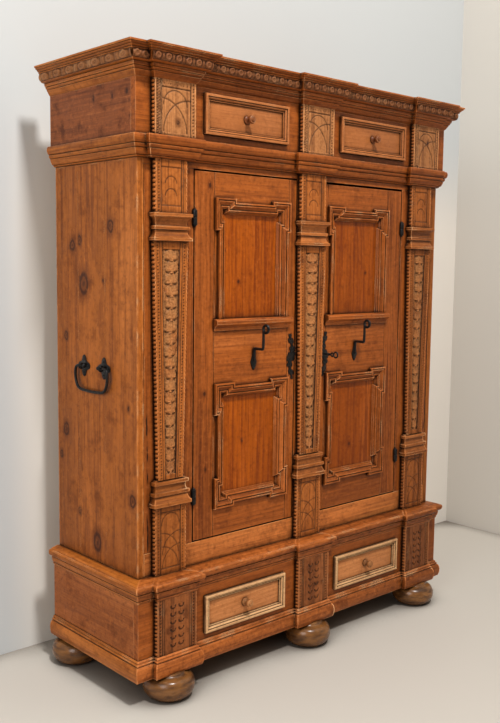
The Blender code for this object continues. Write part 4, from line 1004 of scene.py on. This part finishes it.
for side_name, centre in pilaster_centres.items():
    carved_on = dict(stands_for=["pilaster_" + side_name], record_slot="carved_pine")
    beads, ledges = bmesh.new(), bmesh.new()
    for field, chisel, low, high, low_half, high_half in pilaster_fields:
        carved_face(field + "_" + side_name, centre, between(low_half, high_half), low, high, pilaster_front,
                    pilaster_back, chisel, ["pilaster_" + side_name])
        for side in (-1, 1):
            add_bead_row(beads, (centre + side * low_half, bead_y, low + bead_clear),
                         (centre + side * high_half, bead_y, high - bead_clear), 0.0058, 0.0092, 0.0140)
    left, right = centre - pilaster_half, centre + pilaster_half
    path = [(left, pilaster_back), (left, pilaster_front), (right, pilaster_front), (right, pilaster_back)]
    for shares, low, high in ((capital_shares, capital_low, capital_high),
                              (plinth_shares, plinth_low, plinth_high)):
        profile = [(out, low + rise) for out, rise in sized(shares, ledge_reach, high - low, 3, 30)]
        add_lengths(ledges, path, profile + [(-ledge_bearing, high), (-ledge_bearing, low)])
    piece_from(ledges, "ledges_" + side_name, woods["ledge"], **carved_on)
    piece_from(beads, "beads_" + side_name, woods["carved"], smooth=60, **carved_on)
    print("pilaster", side_name)

# %% [markdown]
# The frieze and the base are boards with two drawer openings, and a carved block stands in front
# of them at each breakfront. The board is one sheet, cut along the sides of its openings with
# bisect, so the openings can be deleted and the rest thickened.

# %% Boards with openings
drawer_offset, drawer_width, drawer_height, drawer_play = 0.320, 0.370, 0.128, 0.002
base_front_y, frieze_front_y = case_front - base_front_reach, case_front - frieze_reach
base_drawer_low, frieze_drawer_low = 0.1755, 1.8197
stages = {  # half width, bottom, top, front, and bottom of the drawers
    "base": (case_half + base_side_reach, base_bottom, base_top - fit_gap, base_front_y, base_drawer_low),
    "frieze": (case_half + frieze_reach, frieze_bottom + fit_gap, frieze_top - fit_gap, frieze_front_y,
               frieze_drawer_low),
}
for stage, (half, low, high, front, drawer_low) in stages.items():
    opening_low, opening_high = drawer_low - drawer_play, drawer_low + drawer_height + drawer_play
    reach = drawer_width / 2 + drawer_play
    bm = bmesh.new()
    outline = (-half, low), (half, low), (half, high), (-half, high)
    bm.faces.new([bm.verts.new((x, front, z)) for x, z in outline])
    cuts = [((side * drawer_offset + end * reach, 0, 0), (1, 0, 0)) for side in (-1, 1) for end in (-1, 1)]
    cuts += [((0, 0, opening_low), (0, 0, 1)), ((0, 0, opening_high), (0, 0, 1))]
    for spot, normal in cuts:
        everything = bm.verts[:] + bm.edges[:] + bm.faces[:]
        bmesh.ops.bisect_plane(bm, geom=everything, plane_co=spot, plane_no=normal)
    middles = [(face, face.calc_center_median()) for face in bm.faces]
    bmesh.ops.delete(bm, context="FACES", geom=[
        face for face, middle in middles
        if opening_low < middle.z < opening_high and abs(abs(middle.x) - drawer_offset) < reach
    ])
    grown = bmesh.ops.extrude_face_region(bm, geom=bm.faces[:], use_keep_orig=True)["geom"]
    bmesh.ops.translate(bm, verts=corners_in(grown), vec=(0, board, 0))
    piece_from(bm, stage + "_board", woods["rail"], stands_for=[stage + "_front"], smooth=0)
print("base and frieze boards")

# %% [markdown]
# On the frieze blocks the carver set out an arch over a saltire with a compass and a straight
# gouge, under a ticked band. On the base blocks two columns of smiling gouge cuts stand between
# grooves.

# %% Frieze and base blocks
block_rim, smile_low, smile_apart, smile_rows = 0.0265, 0.078, 0.0165, 6


def frieze_chisel(across, up, half, tall):
    edge = half - abs(across)
    if across < 0:
        cut = max(dots(edge - 0.010, up, 0.0085, 0.0026), dots(edge - 0.0165, up + 0.004, 0.0085, 0.0022))
        lines, rim = max(dip(edge - 0.0225, 0.0024), dip(edge - 0.0270, 0.0016)), block_rim
    else:
        cut = dots(edge - 0.0105, up, 0.0105, 0.0026)
        lines, rim = dip(edge - 0.0195, 0.0024), 0.0195
    ticks = line = 0.0
    field = edge > rim and 0.010 < up < tall - 0.022
    if edge > rim:
        lines = max(lines, dip(up - tall + 0.022, 0.0024))
        ticks = dots(up - tall + 0.012, across, 0.0125, 0.0018)
    if field:
        reach, middle = half - 0.0235, 0.092
        line = max(arc(across, up - middle, reach * 0.82, 0.0026) * (up > middle),
                   crossed_arcs(across, up, 0.012, reach, 0.0028))
    deep = 0.0022 * lines + 0.0020 * line + 0.0022 * cut + 0.0016 * ticks + 0.0012 * field
    cuts = max(lines, 0.9 * cut, 0.85 * line, 0.8 * ticks)
    return -deep, cuts, edge < worn_rim, 0.35 if edge > rim else 0.5


def base_chisel(across, up, half, tall):
    edge = half - abs(across)
    cut = dots(edge - strip, up, 0.0105, 0.0030)
    groove = max(dip(edge - 0.0195, 0.0024), dip(edge - 0.0262, 0.0020))
    smile = lift = 0.0
    if edge > block_rim and smile_low < up < tall - 0.020:
        pitch = (tall - 0.020 - smile_low) / smile_rows
        step = ((up - smile_low) % pitch) - pitch * 0.62
        if step < pitch * 0.10:
            smile = max(arc(across - side * smile_apart, step * 1.15, 0.0092, 0.0034) for side in (-1, 1))
        lift = 0.0016 * dip(math.hypot(abs(across) - smile_apart, step + pitch * 0.05), 0.0085)
    deep = 0.0022 * groove + 0.0030 * smile + 0.0022 * cut - lift
    return -deep, max(groove, 0.9 * cut, 0.95 * smile), edge < worn_rim, 0.0


for label, centre in zip(("left", "centre", "right"), block_centres):
    for stage, chisel, wood, bead_low in (("frieze", frieze_chisel, "carved_pale", 0),
                                          ("base", base_chisel, "carved_deep", foot_moulding_height)):
        _, low, high, front, _ = stages[stage]
        carved_face(stage + "_block_" + label, centre, between(block_half, block_half), low, high,
                    front - break_forward, front - fit_gap, chisel, [stage + "_front"], 88, wood)
        bm = bmesh.new()
        for x in (centre - block_half, centre + block_half):
            add_bead_row(bm, (x, front - 0.0095, low + bead_low + 0.003), (x, front - 0.0095, high - 0.003),
                         0.0054, 0.0088, 0.0125)
        piece_from(bm, stage + "_beads_" + label, woods["carved"], stands_for=[stage + "_front"], smooth=60,
                   record_slot="carved_pine")
print("six carved blocks")

# %% [markdown]
# The cornice band carries round medallions, each a ring round a boss, and leaves between them.
# It is carved the same way as the blocks, on strips that lean with the band and follow its
# breaks. On the sides the medallions stand further apart and are drawn out long.

# %% Medallions of the cornice
band_low, band_high = frieze_top + 0.49 * cornice_height, frieze_top + 0.74 * cornice_height
band_low_out, band_high_out, band_thick = 0.62 * cornice_reach, 0.67 * cornice_reach, 0.0008


def medallion(step, rise, half_pitch, tall, twist):
    """Height, cut and wear at a spot step and rise away from the middle of a medallion."""
    away = math.hypot(step, rise * 1.02) + twist
    boss, ring, valley = dip(away, 0.0052), dip(away - 0.0072, 0.0060), 0.3 * dip(away - 0.0044, 0.0012)
    leaf = dip(abs(step) - half_pitch, 0.0062) * dip(rise, tall * 0.52)
    cleft = 0.6 * dip(abs(step) - half_pitch, 0.0014)
    rim = dip(abs(rise) - tall / 2, 0.0016)
    height = 0.0056 * max(0.8 * boss, ring) + 0.0050 * leaf - 0.0010 * valley - 0.0016 * cleft + 0.0010 * rim
    raised = max(boss, ring, leaf)
    # The cut mark darkens all the low ground between the raised parts: painted shade in the hollows.
    return height, 0.75 * max(valley, cleft, 0.85 - raised * 1.9), raised * 0.9 - 0.2


def add_band(bm, start, end, outward, marks, pitch, stretch):
    """A carved strip between two plan points of the frieze line, out along outward."""
    long, tall = (end - start).length, band_high - band_low
    count = max(1, round(long / pitch))
    spot_seed = start.x * 7 + start.y * 3
    fresh = bmesh.ops.create_grid(bm, x_segments=int(long / 0.0018), y_segments=14, size=1)["verts"]
    spread = max(corner.co.x for corner in fresh)
    for corner in fresh:
        along, up = [(part / spread + 1) / 2 for part in corner.co.xy]
        step = ((along * count) % 1 - 0.5) * long / count / stretch
        twist = noise.noise(Vector((spot_seed + along * 40, up * 2, 0))) * 0.0020
        height, *shown = medallion(step, (up - 0.5) * tall, long / count / stretch / 2, tall, twist)
        out = band_low_out + (band_high_out - band_low_out) * up + 0.0006 + height
        spot = start.lerp(end, along) + outward * out
        corner.co = (spot.x, spot.y, band_low + tall * up)
        for layer, value in zip(marks, shown):
            corner[layer] = max(0.0, min(1.0, value))


path = [Vector(spot) for spot in round_path(frieze_reach, frieze_reach)]
last = len(path) - 2
for part, chosen, wood, pitch, stretch in (
    ("left", [0], "band", 0.072, 1.9), ("front", range(1, last), "band_front", 0.038, 1.0),
    ("right", [last], "band", 0.072, 1.9),
):
    bm = bmesh.new()
    marks = [bm.verts.layers.float.new(key) for key in ("cut", "proud")]
    for i in chosen:
        start, end = path[i], path[i + 1]
        run = (end - start).normalized()
        if part == "front" and abs(run.x) < 0.5:
            continue
        on_block = abs(start.y - (frieze_front_y - break_forward)) < 0.001
        before = 0 if i == 0 else 1 if on_block or i in (1, last) else -1
        after = 0 if i == last else 1 if on_block or i in (0, last - 1) else -1
        start, end = start - run * before * band_low_out, end + run * after * band_low_out
        if (end - start).length > 0.03:
            add_band(bm, start, end, Vector((run.y, -run.x)), marks, pitch, stretch)
    bmesh.ops.solidify(bm, geom=bm.faces[:], thickness=band_thick)
    piece_from(bm, "cornice_band_" + part, woods[wood], stands_for=["cornice_moulding"], smooth=60,
               record_slot="moulding_pine")
print("carved band of the cornice")

# %% [markdown]
# The case sides are wide boards glued edge to edge. Each side is made of three, with a hairline
# between them, and battens inside carry the shelves. The front corners are closed by upright
# stiles, which also carry the fixed halves of the hinges.

# %% Case sides and front stiles
stile_inner, stile_low, stile_high = 0.2205, 0.4848, 1.7114
case_inner = case_half - board - fit_gap
shelf_levels, batten_tall, batten_thick = [0.4845 - 0.015, 0.900, 1.310], 0.020, 0.021
corner_gap, hairline = 0.0012, 0.0002
side_joints = [case_front, -0.012, 0.148, case_back]
for side_name, side in sides.items():
    on_side = dict(stands_for=["case_side_" + side_name], smooth=0, record_slot="side_pine")
    bm = bmesh.new()
    for near, beyond in zip(side_joints, side_joints[1:]):
        add_box(bm, (side * case_half, near + hairline, case_bottom),
                (side * (case_half - board), beyond - hairline, case_top), 0.0006)
    piece_from(bm, "side_boards_" + side_name, woods["side_left" if side < 0 else "side"], **on_side)
    bm = bmesh.new()
    outer = case_half - board + 0.001
    for level in shelf_levels:
        add_box(bm, (side * outer, case_front + 0.060, level - batten_tall),
                (side * (outer - batten_thick), case_back - 0.025, level - fit_gap))
    piece_from(bm, "battens_" + side_name, woods["inner"], **on_side)
    bm = bmesh.new()
    add_box(bm, (side * (case_inner - corner_gap), case_front, stile_low),
            (side * (case_half - stile_inner), case_front + board, stile_high), 0.0016)
    piece_from(bm, "stile_" + side_name, woods["stile"], stands_for=["front_stile_" + side_name], smooth=0)
print("sides, battens and stiles")

# %% [markdown]
# A forged bar is a circle swept along a bent line. Circles are placed along the smoothed line,
# each turned to face along it, and bridged to the next, so the bar may also swell and taper.


# %% Forged bars
def add_bar(bm, points, radii, around=10, closed=False, steps=3):
    line = rounded([(*point, radius) for point, radius in zip(points, radii)], steps, 181)
    if closed:
        line = line[:-1]
    side, loops = None, []
    for i, spot in enumerate(line):
        after = line[(i + 1) % len(line)] if closed or i + 1 < len(line) else spot
        before = line[i - 1] if closed or i else spot
        along = (Vector(after[:3]) - Vector(before[:3])).normalized()
        if side is None:
            side = along.orthogonal().normalized()
        side = (side - along * side.dot(along)).normalized()
        facing = Matrix((side, along.cross(side), along)).transposed().to_4x4()
        ring = set(bmesh.ops.create_circle(
            bm, segments=around, radius=spot[3], cap_ends=not closed and i in (0, len(line) - 1),
            matrix=Matrix.Translation(spot[:3]) @ facing,
        )["verts"])
        edges = {edge for corner in ring for edge in corner.link_edges}
        loops.append([edge for edge in edges if ring.issuperset(edge.verts)])
    for first, second in zip(loops, loops[1:] + (loops[:1] if closed else [])):
        bmesh.ops.bridge_loops(bm, edges=first + second)


def add_ring(bm, centre, first, second, radius, wire, count=12):
    """A closed ring of wire in the plane of two directions."""
    centre, first, second = Vector(centre), Vector(first), Vector(second)
    turns = [2 * math.pi * k / count for k in range(count + 1)]
    points = [centre + radius * (math.cos(turn) * first + math.sin(turn) * second) for turn in turns]
    add_bar(bm, points, [wire] * len(points), 8, closed=True, steps=2)


print("helpers for bars")

# %% [markdown]
# Iron plates are cut from sheet: an outline is drawn, filled, and pushed back to a thickness, and
# the front rim is bevelled as a file leaves it.


# %% Iron plates
def add_plate(bm, outline, place, low, thick, rim=0.0008):
    """A plate with that (across, up) outline, lying on a surface and standing out from it."""
    face = bm.faces.new([bm.verts.new(place(across, up, low)) for across, up in outline])
    out = Vector(place(0, 0, 1)) - Vector(place(0, 0, 0))
    grown = bmesh.ops.extrude_face_region(bm, geom=[face], use_keep_orig=True)["geom"]
    bmesh.ops.translate(bm, verts=corners_in(grown), vec=out * thick)
    front = [item for item in grown if isinstance(item, bmesh.types.BMFace)]
    bmesh.ops.inset_region(bm, faces=front, thickness=rim, depth=0, use_even_offset=True)
    inner = list({corner for one in front for corner in one.verts})
    bmesh.ops.translate(bm, verts=inner, vec=out * rim * 0.6)


def lobed(radius, lobes, depth, count=48):
    """A leafy outline: a circle whose edge swings in and out."""
    points = []
    for k in range(count):
        angle = 2 * math.pi * k / count
        swell = radius * (1 - depth * (0.5 - 0.5 * math.cos(lobes * angle)))
        points.append((swell * math.cos(angle), swell * math.sin(angle)))
    return points


def add_nail(bm, place, radius=0.0026):
    add_ball(bm, place, 10, 6, radius)


print("helpers for plates")

# %% [markdown]
# Each side has a bail handle: a bent bar with a drooping grip and two turned-in ends, hung in two
# eyes on leafy plates. The plates and eyes stay with the case, and the bar swings.

# %% Bail handles
bail_height, bail_front, bail_back = 1.066, 0.185, 0.305
bail_wire, bail_end, bail_drop, bail_overhang = 0.0049, 0.0068, 0.080, 0.036
eye_out, eye_radius, eye_wire = 0.013, 0.0085, 0.0028
plate_radius, plate_nail = 0.036, 0.022
mid, half = case_front + (bail_front + bail_back) / 2, (bail_back - bail_front) / 2
reach, corner, inside = half + bail_overhang, bail_overhang / 2, half - eye_wire - bail_wire
half_bar = [
    (inside - 2 * bail_end, 0, bail_end / 2), (inside - 1.6 * bail_end, 0, bail_end),
    (inside - bail_end, 0, bail_end), (inside - bail_end / 2, 0, bail_wire),
    (reach - corner, 0, bail_wire), (reach - corner * 0.3, -corner * 0.3, bail_wire),
    (reach, -corner, bail_wire), (reach - corner * 0.2, -bail_drop * 0.65, bail_wire),
    (reach - corner, -bail_drop * 0.92, bail_wire), (half * 0.6, -bail_drop, bail_wire),
]
whole_bar = half_bar + [(-y, z, wire) for y, z, wire in reversed(half_bar)]
for side_name, side in sides.items():
    x = side * (case_half + eye_out)
    bm = bmesh.new()
    add_bar(bm, [(x, mid + y, bail_height + z) for y, z, _ in whole_bar],
            [wire for _, _, wire in whole_bar], 12)
    piece_from(bm, "bail_bar_" + side_name, iron, "bail_handle_" + side_name, ["bail_" + side_name])
    bm = bmesh.new()
    for y in (bail_front, bail_back):
        def on_plate(across, up, out):
            return Vector((side * (case_half + out), case_front + y + across, bail_height + up))

        add_plate(bm, lobed(plate_radius, 4, 0.42), on_plate, -0.0002, 0.0022)
        add_ring(bm, on_plate(0, 0, eye_out), (1, 0, 0), (0, 0, 1), eye_radius, eye_wire)
        for across, rise in ((-plate_nail, 0), (plate_nail, 0), (0, -plate_nail), (0, plate_nail)):
            add_nail(bm, on_plate(across, rise, 0.0024), 0.0032)
    piece_from(bm, "bail_plates_" + side_name, iron, stands_for=["case_side_" + side_name])
print("two bail handles")

# %% [markdown]
# A framed door is stiles and rails tenoned together, so each gets its own board with its own
# grain, and the joints show as hairlines. Narrow fillets close the sides of each field. The
# eared mouldings are mitred lengths, level ones and upright ones in different wood, and the
# upper field ends on a sill.

# %% Sizes of the doors
door_outer, door_thickness, door_bottom, door_top = 0.2235, 0.030, 0.4873, 1.7089
frame_outer, frame_inner, opening_inset = 0.309, 0.650, 0.034
lower_frame_bottom, lower_frame_top, upper_frame_top = 0.5823, 1.0103, 1.6249
sill_bottom, sill_height, sill_reach, sill_overhang = 1.1873, 0.038, 0.023, 0.007
ear_out, ear_long, ear_tall = 0.0125, 0.086, 0.106
frame_width, frame_proud, post_half, post_gap = 0.038, 0.014, 0.0665, 0.0025
lock_height, lock_inset, pull_height = 1.0813, 0.018, 1.0723
barrel_radius, half_barrel, hinge_levels = 0.0085, 0.0245, (0.6403, 1.5559)
barrel_x, barrel_y = 0.528, case_front - 0.004
joint_hair, worn_gap = 0.0006, 0.0013
frame_shares = [
    (0.00, -0.30), (0.00, 0.80), (0.03, 0.97), (0.12, 1.00), (0.16, 0.90), (0.17, 0.42), (0.21, 0.42),
    (0.23, 0.78), (0.30, 0.84), (0.38, 0.70), (0.48, 0.40), (0.58, 0.26), (0.60, -0.02), (0.64, -0.02),
    (0.66, 0.26), (0.74, 0.30), (0.80, 0.14), (0.82, -0.22), (0.86, -0.24), (1.00, -0.86),
    (0.42, -0.86), (0.42, -0.30),
]
sill_shares = [(-0.5, 0.00), (0.30, 0.00), (0.42, 0.30), (0.70, 0.42), (1.00, 0.58), (1.00, 0.86),
               (0.80, 1.00), (-0.5, 1.00)]


def lock_edge(side):
    """How far the door's lock edge lies in from the case's side."""
    return case_half - side * block_centres[1] - post_half - post_gap


def eared(left, right, low, high, lower_ears):
    """The outline of a frame with ears, run clockwise seen from the front from its lower left corner."""
    top = [
        (left + ear_out, high - ear_tall), (left, high - ear_tall), (left, high), (left + ear_long, high),
        (left + ear_long, high - ear_out), (right - ear_long, high - ear_out), (right - ear_long, high),
        (right, high), (right, high - ear_tall), (right - ear_out, high - ear_tall),
    ]
    if not lower_ears:
        return [(left + ear_out, low)] + top + [(right - ear_out, low)]
    return top + [(x, low + high - z) for x, z in reversed(top)]


def add_barrel(bm, side, low, high):
    """Half a hinge knuckle with eased rims."""
    fresh = bmesh.ops.create_cone(
        bm, cap_ends=True, segments=20, radius1=barrel_radius, radius2=barrel_radius, depth=high - low,
        matrix=Matrix.Translation((side * barrel_x, barrel_y, (low + high) / 2)),
    )["verts"]
    edges = {edge for corner in fresh for edge in corner.link_edges}
    rims = [edge for edge in edges if abs(edge.verts[0].co.z - edge.verts[1].co.z) < 1e-6]
    bmesh.ops.bevel(bm, geom=rims, offset=0.0015, affect="EDGES", segments=2, profile=0.5, material=-1)


print("doors", round(door_top - door_bottom, 3), "tall")

# %% [markdown]
# Both doors are built in the same way. A place on a door is given as the distance in from the
# case's side, the height, and the distance out from its face, so one description serves both.

# %% Doors
openings = [(sill_bottom + sill_height / 2, upper_frame_top - opening_inset),
            (lower_frame_bottom + opening_inset, lower_frame_top - opening_inset)]
frame_profile = sized(frame_shares, frame_width, frame_proud, 3, 45)
frame_paths = [(eared(frame_outer, frame_inner, low, high, closed), closed) for low, high, closed in (
    (sill_bottom + sill_height / 3, upper_frame_top, False), (lower_frame_bottom, lower_frame_top, True),
)]
sill_path = [(frame_outer - sill_overhang / 2, 0), (frame_inner + sill_overhang, 0)]
for side_name, side in sides.items():
    on_body = dict(body="door_" + side_name, stands_for=["door_frame_" + side_name])

    def on_door(u, v, w):
        return (side * (case_half - u), case_front - w, v)

    low_end, high_end = door_bottom + worn_gap, door_top - (2 if side < 0 else 4) * worn_gap
    uprights = [(door_outer + worn_gap, frame_outer - joint_hair, low_end, high_end),
                (frame_inner + joint_hair, lock_edge(side) - worn_gap, low_end, high_end)]
    for low, high in openings:
        fillet = low + joint_hair, high - joint_hair
        uprights += [(frame_outer + joint_hair, frame_outer + opening_inset, *fillet),
                     (frame_inner - opening_inset, frame_inner - joint_hair, *fillet)]
    levels = [(openings[0][1], high_end), (openings[1][1], openings[0][0]), (low_end, openings[1][0])]
    rails = [(frame_outer + joint_hair, frame_inner - joint_hair, *level) for level in levels]
    for part, boards, wood in (("stiles", uprights, "stile"), ("rails", rails, "rail")):
        bm = bmesh.new()
        for u0, u1, low, high in boards:
            add_box(bm, on_door(u0, low, 0), on_door(u1, high, -door_thickness + 0.0004), 0.0016)
        piece_from(bm, "door_" + part + "_" + side_name, woods[wood], smooth=0, **on_body)
    for part, wood in (("level", "moulding_x"), ("upright", "moulding_z")):
        bm = bmesh.new()
        for path, closed in frame_paths:
            def is_wanted(i):
                return (abs(path[i][1] - path[(i + 1) % len(path)][1]) < 1e-6) == (part == "level")

            add_lengths(bm, path, frame_profile, on_door, closed, is_wanted)
        piece_from(bm, "door_moulding_" + part + "_" + side_name, woods[wood], **on_body)
    bm = bmesh.new()
    sill = [(out, sill_bottom + rise) for out, rise in sized(sill_shares, sill_reach, sill_height)]
    add_lengths(bm, sill_path, sill, lambda along, back, rise: on_door(along, rise, -back))
    piece_from(bm, "door_sill_" + side_name, woods["moulding_x"], **on_body)
    for name, low, high, tip, rides in (
        ("hinges_", fit_gap, half_barrel, half_barrel, on_body),
        ("hinge_seats_", -half_barrel, -fit_gap, -half_barrel, dict(stands_for=["front_stile_" + side_name])),
    ):
        bm = bmesh.new()
        for level in hinge_levels:
            add_barrel(bm, side, level + low, level + high)
            add_ball(bm, (side * barrel_x, barrel_y, level + tip), 12, 8, barrel_radius * 0.62)
        piece_from(bm, name + side_name, iron, record_slot="front_pine", **rides)
    print("door", side_name)

# %% [markdown]
# Behind each keyhole sits a scrolled iron plate. Its outline is drawn as a width at each height,
# swaying from side to side. The pull is a leaf nailed to the door, with a square shank that
# comes out, turns up and ends in a small ring. The key is a round shank with two rings for a bow.

# %% Escutcheons, pulls and key
scroll_widths = [
    (-0.50, 0.06), (-0.47, 0.26), (-0.44, 0.16), (-0.40, 0.46), (-0.35, 0.62), (-0.30, 0.30), (-0.26, 0.22),
    (-0.22, 0.62), (-0.17, 0.70), (-0.13, 0.42), (-0.10, 0.84), (-0.04, 1.00), (0.04, 1.00), (0.10, 0.84),
    (0.13, 0.42), (0.17, 0.70), (0.22, 0.62), (0.26, 0.22), (0.31, 0.34), (0.36, 0.66), (0.41, 0.50),
    (0.44, 0.18), (0.47, 0.34), (0.50, 0.06),
]
leaf = [(0.00, -0.50), (0.55, -0.30), (1.00, 0.02), (0.62, 0.26), (0.42, 0.50), (-0.42, 0.50), (-0.62, 0.26),
        (-1.00, 0.02), (-0.55, -0.30), (0.00, -0.50)]
scroll_half, scroll_rim, scroll_tall, scroll_sway = 0.017, 0.0016, 0.161, 0.006
leaf_half, leaf_tall, pull_aside = 0.0135, 0.054, 0.008
pull_rise, pull_reach, pull_arm, pull_bar, pull_ring = 0.048, 0.050, 0.070, 0.0052, 0.0128
ring_wire, key_out, bow_wire = 0.0050, 0.036, 0.0030
root = pull_bar + 2 * fit_gap
stem = [  # rise, distance out, and share of the bar's thickness
    (0, root, 0.9), (pull_rise - 0.010, root, 1), (pull_rise - 0.001, root + 0.002, 1),
    (pull_rise, root + 0.012, 0.95), (pull_rise, pull_reach - 0.012, 0.95),
    (pull_rise + 0.001, pull_reach - 0.002, 1), (pull_rise + 0.011, pull_reach, 1),
    (pull_rise + pull_arm, pull_reach, 0.8),
]


def sway_at(share):
    return scroll_sway * math.sin(3 * math.pi * share)


for side_name, side in sides.items():
    body = "door_" + side_name

    def on_face(inward, height, across, rise, out):
        return Vector((side * (case_half - inward - across), case_front - out, height + rise))

    on_plate = partial(on_face, lock_edge(side) - lock_inset, lock_height)
    on_leaf = partial(on_face, (frame_outer + frame_inner) / 2 + pull_aside, pull_height)
    first, second = [], []
    for along, width in rounded(scroll_widths, 3, 181):
        first.append((sway_at(along) - scroll_half * width - scroll_rim, scroll_tall * along))
        second.append((sway_at(along) + scroll_half * width + scroll_rim, scroll_tall * along))
    bm = bmesh.new()
    add_plate(bm, first + second[::-1], on_plate, fit_gap, 0.0020, 0.0006)
    for rise in (-0.062, -0.026, 0.026, 0.062):
        add_nail(bm, on_plate(sway_at(rise / scroll_tall), rise, 0.0026))
    piece_from(bm, "scroll_plate_" + side_name, iron, body, ["escutcheon_" + side_name])
    bm = bmesh.new()
    add_plate(bm, sized(leaf, leaf_half, leaf_tall, 3, 70)[:-1], on_leaf, fit_gap, 0.0030, 0.0010)
    add_bar(bm, [on_leaf(0, rise, out) for rise, out, _ in stem], [pull_bar * share for _, _, share in stem])
    add_ring(bm, on_leaf(0, pull_rise + pull_arm, pull_reach + pull_ring), (0, -1, 0), (0, 0, 1), pull_ring,
             ring_wire)
    piece_from(bm, "pull_hook_" + side_name, iron, body, ["pull_" + side_name])
# The key is in the right door, which was made last, so on_plate still means that door's plate.
bm = bmesh.new()
add_bar(bm, [on_plate(0, 0, out) for out in (-0.040, 0.0, 0.020, 0.024, 0.028, key_out)],
        [0.0034, 0.0034, 0.0036, 0.0060, 0.0042, 0.0042], 12)
for bow_radius, bow_out in ((0.0062, key_out), (0.0100, key_out + 0.0135)):
    add_ring(bm, on_plate(0, 0, bow_out + bow_radius), (0, -1, 0), (0, 0, 1), bow_radius, bow_wire)
piece_from(bm, "key_and_bow", iron, "key_piece", ["key"])
print("plates, pulls and key")

# %% [markdown]
# A drawer front is a board with a moulding planted round its edge, mitred like a picture frame,
# and a turned knob. The knob is a half outline spun round its axis.

# %% Drawer fronts
drawer_shares = [
    (0.00, -0.20), (0.00, 0.78), (0.04, 0.96), (0.14, 1.00), (0.34, 1.00), (0.38, 0.94), (0.40, 0.50),
    (0.45, 0.50), (0.47, 0.74), (0.56, 0.78), (0.66, 0.66), (0.76, 0.40), (0.78, 0.14), (0.84, 0.14),
    (0.86, 0.34), (0.96, 0.34), (1.00, 0.10), (1.00, -0.20),
]
knob_shares = [
    (0.00, -0.10), (1.06, -0.10), (1.08, 0.03), (1.02, 0.12), (0.80, 0.20), (0.62, 0.28), (0.55, 0.38),
    (0.58, 0.48), (0.86, 0.56), (1.05, 0.67), (1.06, 0.79), (0.94, 0.90), (0.70, 0.90), (0.62, 0.93),
    (0.30, 0.99), (0.14, 0.97), (0.00, 0.97),
]
drawer_edging, drawer_edging_proud, drawer_face = 0.022, 0.014, 0.020
knob_radius, knob_long = 0.0135, 0.034


def spun(bm, outline, axis_spot, axis, place, steps):
    """An outline of (radius, along) points spun into a closed round piece."""
    line = [bm.verts.new(place(radius, along)) for radius, along in outline]
    edges = [bm.edges.new(pair) for pair in zip(line, line[1:])]
    bmesh.ops.spin(
        bm, geom=line + edges, cent=axis_spot, axis=axis, angle=2 * math.pi, steps=steps, use_merge=True
    )


for side_name, side in sides.items():
    for stage, edge_wood, face_wood, knob_wood in (("base", "drawer_edge", "drawer", "knob_pale"),
                                                   ("frieze", "drawer_upper", "drawer_upper", "knob_brown")):
        front, low = stages[stage][3:]
        name = stage + "_drawer_" + side_name
        on_body = dict(body=name, stands_for=[name + "_front"], record_slot="drawer_pine")
        centre, high = side * drawer_offset, low + drawer_height
        left, right = centre - drawer_width / 2, centre + drawer_width / 2
        bm = bmesh.new()
        add_lengths(bm, [(left, low), (left, high), (right, high), (right, low)],
                    sized(drawer_shares, drawer_edging, drawer_edging_proud, 3, 45),
                    lambda x, z, out: (x, front - out, z), closed=True)
        piece_from(bm, name + "_edging", woods[edge_wood], **on_body)
        bm = bmesh.new()
        add_box(bm, (left, front, low), (right, front + drawer_face, high), 0.0006)
        piece_from(bm, name + "_face", woods[face_wood], **on_body)
        bm = bmesh.new()
        middle = Vector((centre, front, (low + high) / 2))
        spun(bm, sized(knob_shares, knob_radius, knob_long, 4, 70), middle, (0, 1, 0),
             lambda radius, along: middle + Vector((radius, -along, 0)), 32)
        piece_from(bm, name + "_knob", woods[knob_wood], **on_body)
print("four drawer fronts")

# %% [markdown]
# Five bun feet were turned on a lathe, each from one block. Spinning a smooth half outline gives
# the same shape.

# %% Feet
foot_radius, foot_height = 0.0856, 0.0867
foot_shares = [
    (0.00, 0.00), (0.58, 0.00), (0.78, 0.07), (0.93, 0.23), (1.00, 0.44),
    (0.98, 0.64), (0.87, 0.83), (0.62, 0.955), (0.60, 1.00), (0.00, 1.00),
]
front_row, back_row = case_front - 0.025, case_back - 0.072
foot_spots = {
    "front_left": (-0.644, front_row), "front_centre": (0.007, front_row), "front_right": (0.644, front_row),
    "back_left": (-0.7265, back_row), "back_right": (0.7265, back_row),
}
outline = [(foot_radius * min(1, radius), foot_height * max(0, rise))
           for radius, rise in rounded(foot_shares, 5, 80)]
for label, (x, y) in foot_spots.items():
    bm = bmesh.new()
    spun(bm, outline, (x, y, 0), (0, 0, 1), lambda radius, rise: (x + radius, y, rise), 64)
    piece_from(bm, "bun_foot_" + label, woods["foot"], stands_for=["foot_" + label], smooth=60,
               record_slot="foot_wood")
print("five feet")
